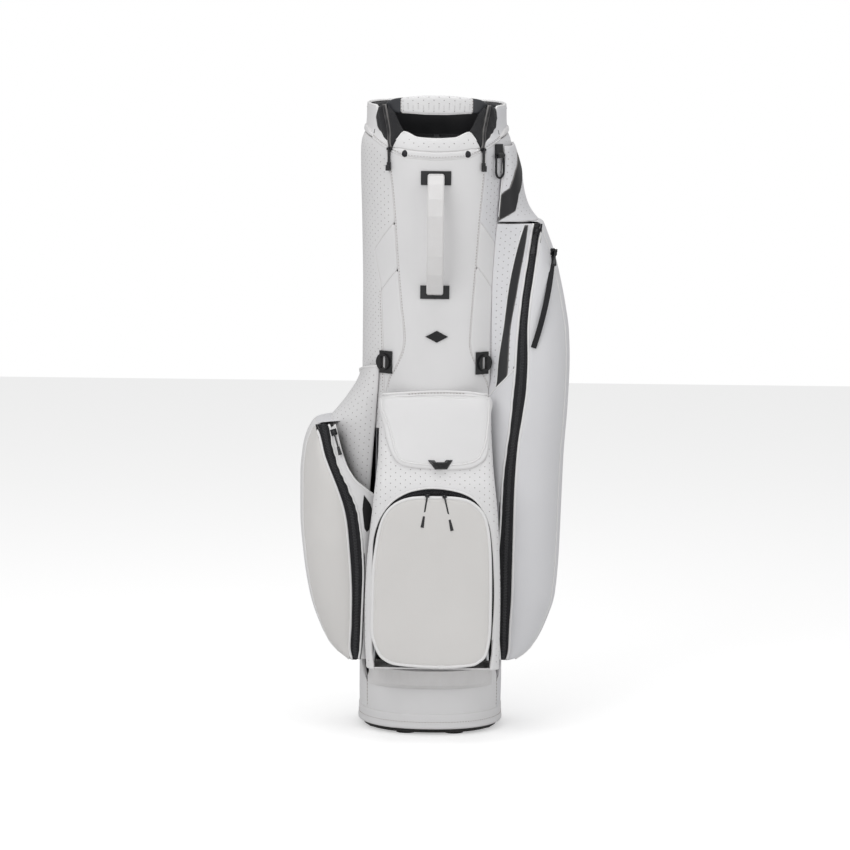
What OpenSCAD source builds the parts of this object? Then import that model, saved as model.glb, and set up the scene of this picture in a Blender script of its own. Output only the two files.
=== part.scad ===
// Golf bag: an oval club tube on a moulded foot, with a moulded rim and carry bridge at the top,
// a ball pocket and a magnetic valuables pocket in front, a zipped pocket on each side,
// and a padded shoulder strap at the back. Front is -Y, up is +Z, the origin is under the foot.

/* [Tube] */
// Half width of the club tube
tube_a = 102.5; // [98:0.5:106]
// How much deeper than wide the tube is, on each side
tube_deeper = 11; // [8:1:13]
// Squareness of the oval: 2 is an ellipse
squareness = 2.3; // [2.2:0.1:2.4]
// Thickness of the sewn walls
wall = 3; // [2.5:0.5:3.5]
// Height at which the walls meet the collar, at the front
seam_z = 828; // [822:1:834]
// Height of the rim above the front seam, at the sides
collar_h = 73; // [69:1:78]
// Clearance between separate soft pieces
gap = 0.5; // [0.4:0.1:0.7]
// Clearance of a seated piece
seat = 0.3; // [0.2:0.05:0.4]
// Clearance between nested round walls
nest = 0.8; // [0.7:0.05:0.9]

/* [Foot] */
// Height of the rubber tread, pads included
tread_h = 10; // [9:0.5:11]
// How far the tread stands in from the tube
tread_in = 5.5; // [4:0.5:8]
// Height of the foot tray's wall
tray_h = 30; // [24:1:36]
// Height of the hem band
hem_h = 21; // [18:1:26]
// Thickness of the hem band
hem_t = 2; // [1.6:0.2:2.4]

/* [Top] */
// Height of the carry bridge's bar
bridge_h = 21; // [18:1:24]
// Thickness of the carry bridge's bar
bridge_t = 9; // [8:1:11]
// Thickness of the padded wrap over the bar
wrap_t = 2.5; // [2:0.5:3]
// Thickness of the moulded rim
rim_t = 5; // [4:0.5:6]
// Radius of the stay rods
stay_r = 3; // [2.5:0.5:3.5]
// Thickness of the divider bars
divider_t = 8; // [6:1:10]
// Thickness of the divider sheets
sheet_t = 1.6; // [1.2:0.2:2.4]

/* [Ball pocket] */
// Half width of the ball pocket's door
door_a = 82; // [80:1:83]
// Height of the door's lower edge
door_z0 = 112; // [111:1:115]
// Height of the door's upper edge
door_z1 = 352; // [344:1:354]
// How far the door's face stands in front of the axis
door_y = 180; // [176:1:184]
// Thickness of the door
door_t = 4; // [3:0.5:5]
// How far the pocket's side walls stand outside the door
housing_grow = 10; // [9:0.5:11]

/* [Valuables pocket] */
// Height of the flap's hinge line
flap_z1 = 492; // [488:1:496]
// Height of the flap's lower edge
flap_z0 = 391; // [389:1:396]
// Half width of the flap at its hinge line
flap_a = 68; // [64:1:70]
// Thickness of the flap
flap_t = 3.5; // [3:0.5:4]

/* [Side pockets] */
// Angle from the front at which both side doors are hinged on the tube
rear_phi = 116; // [112:1:118]
// Width of the long zip tapes
tape_w = 13; // [11:1:15]
// Thickness of the zip tapes
tape_t = 1.6; // [1.4:0.2:2]
// Height of both side pockets' lower edge
pocket_z0 = 114; // [112:1:118]

/* [Handles and strap] */
// Width of the front grab handle
grab_w = 24; // [20:1:26]
// Thickness of the front grab handle
grab_t = 7; // [6:1:8]
// How far the grab handle stands off the tube
grab_out = 34; // [28:1:38]
// Width of the strap's webbing
web_w = 38; // [32:1:40]
// Thickness of the webbing
web_t = 2.4; // [2:0.2:3]
// Width of the shoulder pad
pad_w = 62; // [54:1:70]
// Thickness of the shoulder pad
pad_t = 12; // [8:1:14]

/* [Hidden] */
$fn = 32;

// ---- curves and shells -------------------------------------------------------------------

function lerp(a, b, t) = a + (b - a) * t;
function signed_pow(v, p) = sign(v) * pow(abs(v), p);
function steps(n) = [for (i = [0:n]) i / n];

// A point of the oval at an angle from the front, positive towards the right-hand side
function oval(phi, a) = [
    a * signed_pow(sin(phi), 2 / squareness),
    -(a + tube_deeper) * signed_pow(cos(phi), 2 / squareness)
];
function oval_outline(a) = [for (i = [0:71]) oval(i * 5, a)];

// Angle at which the oval of half width a reaches x
function phi_at(x, a) = asin(pow(x / a, squareness / 2));

function inward(g, i, j, closed) =
    let (
        rows = len(g),
        cols = len(g[0]),
        j0 = closed ? (j + cols - 1) % cols : max(j - 1, 0),
        j1 = closed ? (j + 1) % cols : min(j + 1, cols - 1),
        c = cross(g[min(i + 1, rows - 1)][j] - g[max(i - 1, 0)][j], g[i][j1] - g[i][j0])
    )
    c / norm(c);
function shifted(g, d, closed = false) = [
    for (i = [0:len(g) - 1]) [for (j = [0:len(g[0]) - 1]) g[i][j] + d * inward(g, i, j, closed)]
];
function flat(g) = [for (row = g) each row];

// A closed solid between two grids of the same size, whose rows climb and whose columns run
// from the front towards the right-hand side
module between(outer, inner, closed = false) {
    rows = len(outer);
    cols = len(outer[0]);
    total = rows * cols;
    last = closed ? cols - 1 : cols - 2;
    o = function (i, j) i * cols + j % cols;
    n = function (i, j) total + o(i, j);
    skins = [
        for (i = [0:rows - 2]) for (j = [0:last]) each [
            [o(i, j), o(i + 1, j), o(i + 1, j + 1)],
            [o(i, j), o(i + 1, j + 1), o(i, j + 1)],
            [n(i, j), n(i + 1, j + 1), n(i + 1, j)],
            [n(i, j), n(i, j + 1), n(i + 1, j + 1)]
        ]
    ];
    ends = [
        for (j = [0:last]) each [
            [o(0, j), o(0, j + 1), n(0, j + 1)],
            [o(0, j), n(0, j + 1), n(0, j)],
            [o(rows - 1, j + 1), o(rows - 1, j), n(rows - 1, j)],
            [o(rows - 1, j + 1), n(rows - 1, j), n(rows - 1, j + 1)]
        ]
    ];
    sides = closed ? [] : [
        for (i = [0:rows - 2]) each [
            [o(i + 1, 0), o(i, 0), n(i, 0)],
            [o(i + 1, 0), n(i, 0), n(i + 1, 0)],
            [o(i, cols - 1), o(i + 1, cols - 1), n(i + 1, cols - 1)],
            [o(i, cols - 1), n(i + 1, cols - 1), n(i, cols - 1)]
        ]
    ];
    polyhedron(points = concat(flat(outer), flat(inner)), faces = concat(skins, ends, sides));
}

// A shell of thickness t behind a grid
module shell(g, t, closed = false) {
    between(g, shifted(g, t, closed), closed);
}

// A solid through a list of rings, closed at both ends
module sweep(rings) {
    rows = len(rings);
    cols = len(rings[0]);
    skin = [
        for (i = [0:rows - 2]) for (j = [0:cols - 1]) each [
            [i * cols + j, (i + 1) * cols + j, (i + 1) * cols + (j + 1) % cols],
            [i * cols + j, (i + 1) * cols + (j + 1) % cols, i * cols + (j + 1) % cols]
        ]
    ];
    caps = concat(
        [for (j = [1:cols - 2]) [0, j, j + 1]],
        [for (j = [1:cols - 2]) [(rows - 1) * cols, (rows - 1) * cols + j + 1, (rows - 1) * cols + j]]
    );
    polyhedron(points = flat(rings), faces = concat(skin, caps));
}

// A rounded bar of width w and thickness t around a path in the YZ plane
function bar_ring(path, i, w, t) =
    let (
        a = path[max(i - 1, 0)],
        b = path[min(i + 1, len(path) - 1)],
        d = (b - a) / norm(b - a),
        out = [0, -d[1], d[0]],
        r = t / 2
    )
    [
        for (k = [0:11])
            let (ang = 30 * k + 15, side = sign(cos(ang)))
            [side * (w / 2 - r) + r * cos(ang), path[i][0], path[i][1]] + r * sin(ang) * out
    ];
module flat_bar(path, w, t) {
    sweep([for (i = [0:len(path) - 1]) bar_ring(path, i, w, t)]);
}

// ---- the tube ----------------------------------------------------------------------------

panel_z0 = tread_h;
rim_z = seam_z + collar_h;
hem_top = panel_z0 + hem_h;
flare = 5.5;
collar_in = 3;
seam_side = 34;

// Half width of the tube's outside at a height
function tube_at(z) = tube_a + lookup(z, [
    [hem_top, -1.5], [hem_top + 2, 0], [620, 0.5], [seam_z - 40, flare - 1],
    [seam_z + 8, flare], [seam_z + 22, flare - 1], [seam_z + 36, -1.5],
    [seam_z + 42, -collar_in], [rim_z, -collar_in - 0.5]
]);
function tube_pt(phi, z, out = 0) = let (p = oval(phi, tube_at(z) + out)) [p[0], p[1], z];

// Height of the collar seam round the tube, and of the collar's two upper edges
notch_phi = 34;
function seam_at(phi) = seam_z + lookup(abs(phi), [
    [0, 0], [20, 3], [notch_phi, 12], [60, 28], [90, seam_side], [180, seam_side]
]);
function hood_top(phi) = seam_z + lookup(abs(phi), [[0, 29], [12, 30.5], [23, 37], [notch_phi, 16.5]]);
function collar_top(phi) = lookup(abs(phi), [
    [notch_phi, seam_z + 16.5], [44, seam_z + 27], [53, seam_z + 0.6 * collar_h], [55, rim_z - 5],
    [60, rim_z], [180, rim_z + 3]
]);
function rim_top(phi) = lookup(abs(phi), [
    [0, seam_z + 24], [20, seam_z + 26], [30, seam_z + 34], [37, bridge_seat_z],
    [60, bridge_seat_z], [67, rim_z - 3], [180, rim_z + 1]
]);
bridge_seat_z = rim_z - 23;

// Angle of the seam between the front panel and the side panels
function front_seam(z) = lookup(z, [[500, 26], [556, 24], [600, 26], [seam_z + 8, 37]]);
spine_phi = 150;
seam_slot = 0.3;

// Rows lie closer together where the wall flares under the collar
panel_rows = concat([for (i = [0:10]) 0.088 * i], [0.915, 0.935, 0.95, 0.965, 0.98, 1]);
function panel_grid(from, to, cols) = [
    for (v = panel_rows) [
        for (u = steps(cols))
            let (
                guess = lerp(panel_z0, seam_z, v),
                phi = lerp(from(guess), to(guess), u),
                z = lerp(panel_z0, seam_at(phi) - 2 * gap, v)
            )
            tube_pt(phi, z)
    ]
];
function ring_grid(z0, z1, out, phis, rows) = [
    for (v = steps(rows)) [for (phi = phis) tube_pt(phi, lerp(z0(phi), z1(phi), v), out)]
];
round_phis = [for (i = [0:47]) i * 7.5];

module panel(from, to, cols) {
    shell(panel_grid(from, to, cols), wall);
}

module foot_tread() {
    tread_a = tube_a - tread_in;
    pad_h = 3;
    color([0.05, 0.05, 0.055]) {
        translate([0, 0, pad_h]) linear_extrude(tread_h - pad_h) polygon(oval_outline(tread_a));
        cylinder(r = 22, h = pad_h + 1);
        for (phi = [0:45:315]) {
            p = oval(phi + 22.5, tread_a - 18);
            translate([p[0], p[1], 0]) cylinder(r = 14, h = pad_h + 1);
        }
    }
}

tray_a = tube_a - 2 - wall - nest;
tray_t = 3;
tray_floor = 4;
rod_phis = [-62, 62, -122, 122];
rod_a = tube_a - wall - tray_t - stay_r - 3;
rod_fit = 0.1;
boss_r = stay_r + 2.6;

module foot_tray() {
    color([0.08, 0.08, 0.085]) difference() {
        union() {
            difference() {
                translate([0, 0, tread_h]) linear_extrude(tray_h) polygon(oval_outline(tray_a));
                translate([0, 0, tread_h + tray_floor]) linear_extrude(tray_h)
                    polygon(oval_outline(tray_a - tray_t));
            }
            for (phi = rod_phis) {
                p = oval(phi, rod_a);
                translate([p[0], p[1], tread_h]) cylinder(r = boss_r, h = tray_h - 4);
            }
        }
        for (phi = rod_phis) {
            p = oval(phi, rod_a);
            translate([p[0], p[1], tread_h + tray_floor]) cylinder(r = stay_r + rod_fit, h = tray_h);
        }
    }
}

module hem_band() {
    out = hem_t + nest;
    color([0.86, 0.86, 0.87]) shell(ring_grid(
        function (phi) panel_z0 - 1, function (phi) hem_top - 0.5, out, round_phis, 3
    ), hem_t, closed = true);
}

module front_panel() {
    color([0.86, 0.86, 0.87]) panel(
        function (z) -front_seam(z) + seam_slot, function (z) front_seam(z) - seam_slot, 16
    );
}

module right_panel() {
    color([0.84, 0.84, 0.86]) panel(
        function (z) front_seam(z) + seam_slot, function (z) spine_phi - seam_slot, 18
    );
}

module left_panel() {
    mirror([1, 0, 0]) right_panel();
}

module back_panel() {
    color([0.84, 0.84, 0.86]) panel(
        function (z) spine_phi + seam_slot, function (z) 360 - spine_phi - seam_slot, 12
    );
}

// ---- the top -----------------------------------------------------------------------------

module collar_front() {
    phis = [for (u = steps(16)) lerp(-notch_phi + 0.6, notch_phi - 0.6, u)];
    color([0.87, 0.87, 0.88]) shell(ring_grid(
        function (phi) seam_at(phi) + gap, function (phi) hood_top(phi), 0, phis, 5
    ), wall);
}

module collar_cover() {
    near = [notch_phi + 0.6, 39, 44, 49, 53, 55, 60];
    phis = concat(near, [for (i = [1:23]) 60 + i * 10], [for (i = [6:-1:0]) 360 - near[i]]);
    color([0.87, 0.87, 0.88]) shell(ring_grid(
        function (phi) seam_at(folded(phi)) + gap, function (phi) collar_top(folded(phi)), 0, phis, 7
    ), wall);
}
function folded(phi) = phi > 180 ? 360 - phi : phi;

module top_ring() {
    phis = [for (i = [0:47]) i * 7.5];
    z0 = seam_z - 16;
    color([0.06, 0.06, 0.065]) shell(ring_grid(
        function (phi) z0, function (phi) rim_top(folded(phi)), -wall - 2 * nest, phis, 12
    ), rim_t, closed = true);
}

divider_z0 = seam_z + 2;
divider_h = 22;
divider_a = tube_at(divider_z0 + divider_h) - wall - rim_t - 3.5 * nest;
cross_y = 37;
divider_rim = 5;

module inside_oval(a, z0, h) {
    translate([0, 0, z0]) linear_extrude(h) polygon(oval_outline(a));
}

module dividing_walls(t, z0, h) {
    translate([-t / 2, -150, z0]) cube([t, 300, h]);
    for (y = [-cross_y, cross_y]) translate([-130, y - t / 2, z0]) cube([260, t, h]);
}

module club_divider() {
    color([0.1, 0.1, 0.11]) difference() {
        union() {
            difference() {
                inside_oval(divider_a, divider_z0, divider_h);
                inside_oval(divider_a - divider_rim, divider_z0 - 1, divider_h + 2);
            }
            intersection() {
                inside_oval(divider_a - 1, divider_z0, divider_h);
                dividing_walls(divider_t, divider_z0, divider_h);
            }
            for (phi = rod_phis) {
                p = oval(phi, rod_a);
                translate([p[0], p[1], divider_z0]) cylinder(r = boss_r, h = divider_h - 4);
            }
        }
        for (phi = rod_phis) {
            p = oval(phi, rod_a);
            translate([p[0], p[1], divider_z0 - 1]) cylinder(r = stay_r + rod_fit, h = divider_h - 8);
        }
    }
}

module divider_sheets() {
    z0 = tread_h + tray_floor + seat;
    h = divider_z0 - seat - z0;
    color([0.12, 0.12, 0.13]) intersection() {
        inside_oval(tray_a - tray_t - seat, z0, h);
        dividing_walls(sheet_t, z0, h);
    }
}

module stay_rods() {
    z0 = tread_h + tray_floor;
    color([0.55, 0.56, 0.58]) for (phi = rod_phis) {
        p = oval(phi, rod_a);
        translate([p[0], p[1], z0]) cylinder(r = stay_r, h = divider_z0 + divider_h - 9 - z0);
    }
}

// The bridge's centre line climbs from a seat on the rim and bows across the front
bridge_a = tube_at(rim_z) - wall - nest - bridge_t / 2;
bridge_z = rim_z + 3.5;
bridge_half = [
    [52.5, bridge_seat_z + seat], [52.5, bridge_seat_z + 4], [51, bridge_seat_z + 12],
    [46, bridge_z - 7], [39, bridge_z - 3], [31, bridge_z - 1.5], [20, bridge_z - 0.5]
];
bridge_bow = -1;
function bridge_pt(k) = let (p = oval(k[0], bridge_a + bridge_bow)) [p[0], p[1], k[1]];
bridge_path = concat(
    [for (k = bridge_half) let (p = bridge_pt(k)) [-p[0], p[1], p[2]]],
    [bridge_pt([0, bridge_z])],
    [for (i = [len(bridge_half) - 1:-1:0]) bridge_pt(bridge_half[i])]
);
function bridge_ring(i, grow) =
    let (
        a = bridge_path[max(i - 1, 0)],
        b = bridge_path[min(i + 1, len(bridge_path) - 1)],
        last = len(bridge_path) - 1,
        d = i == 0 ? [0, 0, 1] : i == last ? [0, 0, -1] : (b - a) / norm(b - a),
        flat_out = [bridge_path[i][0] * 0.9, bridge_path[i][1], 0],
        raw = flat_out - (flat_out * d) * d,
        out = raw / norm(raw),
        up = cross(out, d),
        high = min(1, 0.75 + 0.09 * min(i, last - i)) * bridge_h / 2 + grow,
        deep = bridge_t / 2 + grow,
        r = 0.75 * deep
    )
    [
        for (k = [0:15])
            let (ang = -22.5 * k)
            bridge_path[i] + (sign(cos(ang)) * (deep - r) + r * cos(ang)) * out
                + (sign(sin(ang)) * (high - r) + r * sin(ang)) * up
    ];

module carry_bridge() {
    color([0.06, 0.06, 0.065])
        sweep([for (i = [0:len(bridge_path) - 1]) bridge_ring(i, 0)]);
}

module bridge_wrap() {
    ends = 4;
    outer = [for (i = [ends:len(bridge_path) - 1 - ends]) bridge_ring(i, wrap_t + seat)];
    inner = [for (i = [ends:len(bridge_path) - 1 - ends]) bridge_ring(i, seat)];
    color([0.86, 0.86, 0.87]) between(outer, inner, closed = true);
}

module gusset_half() {
    phis = [25, 28, 31, notch_phi, 38, 42, 46, 50, 53];
    low = function (phi) 3 * gap + (phi < notch_phi ? hood_top(phi) : collar_top(phi));
    high = function (phi) lerp(seam_z + 40, rim_z - 4, (phi - 24) / 30);
    grid = ring_grid(low, high, 0, phis, 4);
    shell(grid, wall - 1);
}

module collar_gussets() {
    color([0.05, 0.05, 0.055]) {
        gusset_half();
        mirror([1, 0, 0]) gusset_half();
    }
}

// A small part standing on the tube at an angle from the front, its own -Y pointing outwards
module on_tube(phi, z, out = 0) {
    p = tube_pt(phi, z, out);
    q = tube_pt(phi + 1, z, out) - tube_pt(phi - 1, z, out);
    translate(p) rotate([0, 0, atan2(q[1], q[0])]) children();
}

stud_r = 5;
stud_phi = 21;
// Snap studs on the hood, and a staple with a pin at each notch
module hood_studs() {
    ear_x = hook_eye_w / 2 + seat;
    color([0.07, 0.07, 0.075]) for (s = [-1, 1]) {
        on_tube(s * stud_phi, seam_z + 8, seat) rotate([90, 0, 0]) rotate_extrude()
            polygon([[0, 0], [stud_r, 0], [stud_r, 1], [stud_r - 1.6, 2.2], [0, 2.4]]);
        hook_place(s) {
            for (x = [-ear_x - ear_t, ear_x])
                translate([x, -1.8, -1.8]) cube([ear_t, hook_off + 1.8, 3.6]);
            eye(hook_pin_r, 2 * ear_x + 0.4);
        }
    }
}

// Hooks that hang from the collar's notches, each on a pin of its own
hook_phi = notch_phi;
hook_z = seam_z + 14;
hook_pin_r = 1.2;
pin_fit = 0.06;
hook_drop = 31;
hook_w = 5.6;
hook_eye_w = 3;
hook_off = 3.6;
ear_t = 1.4;

module eye(r, w) {
    rotate([0, 90, 0]) cylinder(r = r, h = w, center = true);
}

module hook_body() {
    color([0.05, 0.05, 0.055]) difference() {
        union() {
            eye(2.8, hook_eye_w);
            translate([-1.5, -1.4, -hook_drop + 6]) cube([3, 2.4, hook_drop - 6]);
            translate([-hook_w / 2, -1.4, -hook_drop]) cube([hook_w, 2.4, 12]);
            translate([-hook_w / 2, -4.2, -hook_drop]) cube([hook_w, 3, 2.4]);
            translate([-hook_w / 2, -4.2, -hook_drop]) cube([hook_w, 1.6, 8]);
        }
        eye(hook_pin_r + pin_fit, 8);
    }
}

module hook_place(s) {
    on_tube(s * hook_phi, hook_z, seat) translate([0, -hook_off, 0]) children();
}

module hood_hook_left() {
    hook_place(-1) hook_body();
}

module hood_hook_right() {
    hook_place(1) hook_body();
}

// ---- handle, ports and small fittings ----------------------------------------------------

grab_z1 = seam_z - 25;
grab_z0 = seam_z - 187;
grab_foot = 9;
port_t = 2.5;
grab_path = [
    for (k = [
        [0, grab_z1 + 2], [grab_foot, grab_z1], [grab_foot + 8, grab_z1 - 10],
        [grab_out - 6, grab_z1 - 30], [grab_out, grab_z1 - 53], [grab_out + 1, grab_z1 - 81],
        [grab_out, grab_z1 - 109], [grab_out - 6, grab_z1 - 135],
        [grab_foot + 8, grab_z0 + 10], [grab_foot, grab_z0], [0, grab_z0 - 2]
    ]) [-front_y(k[1]) - k[0], k[1]]
];
// Distance from the axis to the tube's front at a height
function front_y(z) = tube_at(z) + tube_deeper + port_t + 4 * seat;

module grab_handle() {
    color([0.88, 0.88, 0.89]) flat_bar(grab_path, grab_w, grab_t);
}

// A patch lying on the tube between two angles and two heights
module tube_patch(z_lo, z_hi, phi_lo, phi_hi, t, cols = 6, rows = 4) {
    grid = [
        for (v = steps(rows)) [
            for (u = steps(cols))
                let (z = lerp(z_lo, z_hi, v))
                tube_pt(lerp(phi_lo(v), phi_hi(v), u), z, t + seat + 0.1)
        ]
    ];
    shell(grid, t);
}

port_w = 20;
module grip_ports() {
    half = phi_at(port_w, tube_a);
    color([0.04, 0.04, 0.045]) {
        tube_patch(grab_z1 - 11, grab_z1 + 9, function (v) -half, function (v) half, port_t);
        tube_patch(grab_z0 - 11, grab_z0 + 8, function (v) -half, function (v) half, port_t);
    }
}

module badge_plate() {
    badge_z = seam_z - 252;
    half_w = 16;
    half_h = 8.5;
    color([0.05, 0.05, 0.055]) on_tube(1.2, badge_z, seat) rotate([90, 0, 0])
        linear_extrude(2) polygon([[-half_w, 0], [0, -half_h], [half_w, 0], [0, half_h]]);
}

// Strap guides for a cart: a D-shaped plate with a slot, on a short base
guide_w = 22;
guide_h = 32;
guide_z = 537;
guide_phi = 38;
guide_slot = [9, 17];
module cart_guide() {
    rotate([90, 0, 0]) difference() {
        union() {
            linear_extrude(3) square([guide_w, guide_h], center = true);
            translate([guide_w / 2 - 8, 0, 0]) cylinder(r = 12, h = 6);
        }
        translate([0, 0, -1]) linear_extrude(9)
            translate([2, 0]) square(guide_slot, center = true);
    }
}
module cart_guides() {
    color([0.05, 0.05, 0.055]) {
        on_tube(guide_phi, guide_z, seat + 0.2) cart_guide();
        mirror([1, 0, 0]) on_tube(guide_phi, guide_z, seat + 0.2) cart_guide();
    }
}

// Towel ring: a D of round bar that hangs in a webbing tab
ring_phi = 51;
ring_z = 833;
ring_bar_r = 1.6;
ring_w = 19;
ring_h = 32;
ring_off = 5;
module ring_place() {
    on_tube(ring_phi, ring_z, 0) translate([0, -ring_off, 0]) children();
}

module towel_tab() {
    tab_w = 14;
    color([0.05, 0.05, 0.055]) ring_place() difference() {
        union() {
            eye(4, tab_w);
            translate([-tab_w / 2, 0, -4]) cube([tab_w, ring_off - 2 * seat, 20]);
        }
        eye(ring_bar_r + pin_fit, tab_w + 2);
    }
}

module towel_ring() {
    bend = ring_w / 2;
    color([0.1, 0.1, 0.11]) ring_place() {
        eye(ring_bar_r, ring_w + 2 * ring_bar_r);
        for (s = [-1, 1]) translate([s * bend, 0, bend - ring_h])
            cylinder(r = ring_bar_r, h = ring_h - bend);
        translate([0, 0, bend - ring_h]) rotate([-90, 0, 0]) rotate_extrude(angle = 180)
            translate([bend, 0]) circle(r = ring_bar_r);
    }
}

// ---- front pockets -----------------------------------------------------------------------

function arc(c, r, a0, a1, n) = [for (t = steps(n)) let (a = lerp(a0, a1, t)) c + r * [cos(a), sin(a)]];
function mirrored(pts) = [for (i = [len(pts) - 1:-1:0]) [-pts[i][0], pts[i][1]]];

corner_lo = 30;
corner_hi = 42;
crown = 7;
sole_lift = 4.9;
// Outline of the ball pocket's door, grown on every side; the housing grows less at its sole
function door_half(grow) = let (lift = grow > gap ? sole_lift : 0) concat(
    arc([door_a - corner_lo, door_z0 + corner_lo + lift], corner_lo + grow, -90, 0, 6),
    arc([door_a - 2 - corner_hi, door_z1 - crown - corner_hi], corner_hi + grow, 0, 76, 6),
    [[0, door_z1 + grow]]
);
function door_outline(grow) = let (half = door_half(grow)) concat(half, mirrored(half));

// A flat piece of the front, between two distances in front of the axis
module front_slab(y_back, y_front) {
    translate([0, -y_back, 0]) rotate([90, 0, 0]) linear_extrude(y_front - y_back) children();
}

module ball_gusset() {
    front = door_y - door_t - 2;
    color([0.85, 0.85, 0.86]) difference() {
        front_slab(40, front) difference() {
            polygon(door_outline(housing_grow));
            polygon(door_outline(housing_grow - wall));
        }
        inside_oval(tube_at(door_z1) + 2 * seat, 0, 2 * door_z1);
    }
}

module ball_zip_tape() {
    front = door_y - door_t - 2 + seat;
    color([0.04, 0.04, 0.045]) front_slab(front, front + tape_t) difference() {
        polygon(door_outline(housing_grow));
        polygon(door_outline(gap));
    }
}

module ball_door() {
    color([0.88, 0.87, 0.86]) front_slab(door_y - door_t, door_y) polygon(door_outline(0));
}

// Half width of the valuables pouch, and distance of its front from the axis, at a height
pouch_top_y = tube_at(flap_z1) + tube_deeper + 4;
pouch_z0 = door_z1 + housing_grow + 3;
function pouch_half(z) = lookup(z, [[pouch_z0, flap_a + 14], [flap_z1, flap_a + 2]]);
function pouch_y(z) = lookup(z, [
    [pouch_z0, door_y - 12], [flap_z0, pouch_top_y + 36], [flap_z1, pouch_top_y]
]);

mouth_z = flap_z1 - 16;
// Plan of the pouch as shares of its half width and of its depth in front of the tube
pouch_plan = [
    [-1, 0.03], [-1, 0.5], [-1, 0.86], [-0.97, 0.95], [-0.88, 1], [-0.5, 1], [0, 1],
    [0.5, 1], [0.88, 1], [0.97, 0.95], [1, 0.86], [1, 0.5], [1, 0.03]
];
module valuables_pouch() {
    top = function (k) k[1] < 0.9 ? flap_z1 - 5 : mouth_z;
    rows = concat([[0, 0.1], [0, 0.6]], [for (v = steps(8)) [v, 1]]);
    grid = [
        for (k = rows) [
            for (c = pouch_plan)
                let (
                    z = lerp(pouch_z0, top(c), k[0]),
                    x = c[0] * pouch_half(z) * lerp(0.8, 1, k[1]),
                    back = oval(phi_at(abs(x), tube_at(z) + 1.5), tube_at(z) + 1.5)[1]
                )
                [x, lerp(back, -pouch_y(z), c[1] * k[1]), z]
        ]
    ];
    color([0.85, 0.85, 0.86]) shell(grid, wall);
}

// The flap lies in front of the pouch, parallel to its face
flap_lean = atan2(pouch_y(flap_z0) - pouch_y(flap_z1), flap_z1 - flap_z0);
flap_len = (flap_z1 - flap_z0) / cos(flap_lean);
flap_off = 1.2;
function flap_outline() =
    let (r = 24, w = flap_a - 6)
    concat(
        [[-flap_a, -1], [-flap_a, -30]],
        arc([r - w, r - flap_len], r, 180, 270, 5),
        arc([w - r, r - flap_len], r, 270, 360, 5),
        [[flap_a, -30], [flap_a, -1]]
    );
module flap_place() {
    translate([0, -pouch_top_y - flap_off, flap_z1]) rotate([90 - flap_lean, 0, 0]) children();
}

module valuables_flap() {
    color([0.9, 0.9, 0.91]) flap_place() linear_extrude(flap_t) polygon(flap_outline());
}

module flap_tab() {
    tab_x = 11;
    color([0.05, 0.05, 0.055]) flap_place() translate([tab_x, -flap_len, flap_t + seat])
        linear_extrude(2.4) polygon([[-18, 1], [18, 1], [14, 14], [-14, 14]]);
}

// The grip stands off the tube as a trough that is open upwards
grip_z0 = 68;
grip_z1 = 97;
grip_a = 86;
grip_out = 24;
module base_grip() {
    half = phi_at(grip_a, tube_a);
    phis = [for (u = steps(16)) lerp(-half, half, u)];
    grid = [
        for (v = steps(5)) [
            for (phi = phis)
                let (
                    z = lerp(grip_z0, grip_z1, v),
                    bow = pow(max(0, cos(90 * phi / half)), 0.6),
                    off = wall + seat + (grip_out - wall) * bow * pow(v, 0.5),
                    p = tube_pt(phi, z, wall + seat)
                )
                [p[0], p[1] - off + wall + seat, z]
        ]
    ];
    color([0.86, 0.86, 0.87]) shell(grid, wall);
}

// ---- side pockets ------------------------------------------------------------------------
// Each long zip lies on an arc of radius r that starts upright at height zc and leans outwards
// in a plane turned by tilt from the X axis. All sides are drawn on the right and mirrored.

right = [101.5, -108, 230, 2050, 45];
left = [105.5, -108, 190, 720, 31];
right_top = seam_z - 92;
left_top = 446;
function zip_x0(s) = s[0];
function zip_y0(s) = s[1];
function zip_zc(s) = s[2];
function zip_r(s) = s[3];
function zip_tilt(s) = s[4];
function zip_pt(s, z) =
    let (u = zip_r(s) - sqrt(pow(zip_r(s), 2) - pow(max(0, z - zip_zc(s)), 2)))
    [zip_x0(s) + u * cos(zip_tilt(s)), zip_y0(s) + u * sin(zip_tilt(s))];

// Outermost reach of each pocket at a height
function right_reach(z) = lookup(z, [
    [pocket_z0, 130], [131, 151], [160, 166], [195, 177], [254, 182], [343, 185], [401, 187],
    [474, 192], [533, 194], [576, 192], [620, 186], [656, 178], [692, 169], [718, 160], [right_top, 152]
]);
function left_reach(z) = lookup(z, [
    [pocket_z0, 130], [125, 145], [143, 156], [193, 174], [252, 184], [310, 189], [369, 189.5],
    [408, 186], [428, 180], [440, 171], [left_top, 166]
]);

// A quarter-rounded bulge from a front point f to a rear point r that reaches x at its middle
function bulge(f, r, reach, t) =
    let (
        line = lerp(f, r, t),
        s = pow(sin(180 * t), 0.85),
        c = signed_pow(cos(180 * t), 0.85),
        mid = (f[1] + r[1]) / 2
    )
    [line[0] + (reach - line[0]) * s, mid - (r[1] - mid) * c];

rear_out = 2;
function door_clear(z) = gap + lookup(z, [[400, 0], [430, 1], [600, 1], [right_top, 5]]);
function door_front(s, z) = zip_pt(s, z) + [tape_w / 2 + door_clear(z), 0];
function door_pt(s, z, reach, t) =
    let (
        f = door_front(s, z),
        rear = oval(rear_phi, tube_at(z) + rear_out)
    )
    bulge(f, rear, max(reach, f[0] + 4), t);
function hug_pt(z, t) = oval(lerp(72, rear_phi, t), tube_at(z) + 1);

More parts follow.
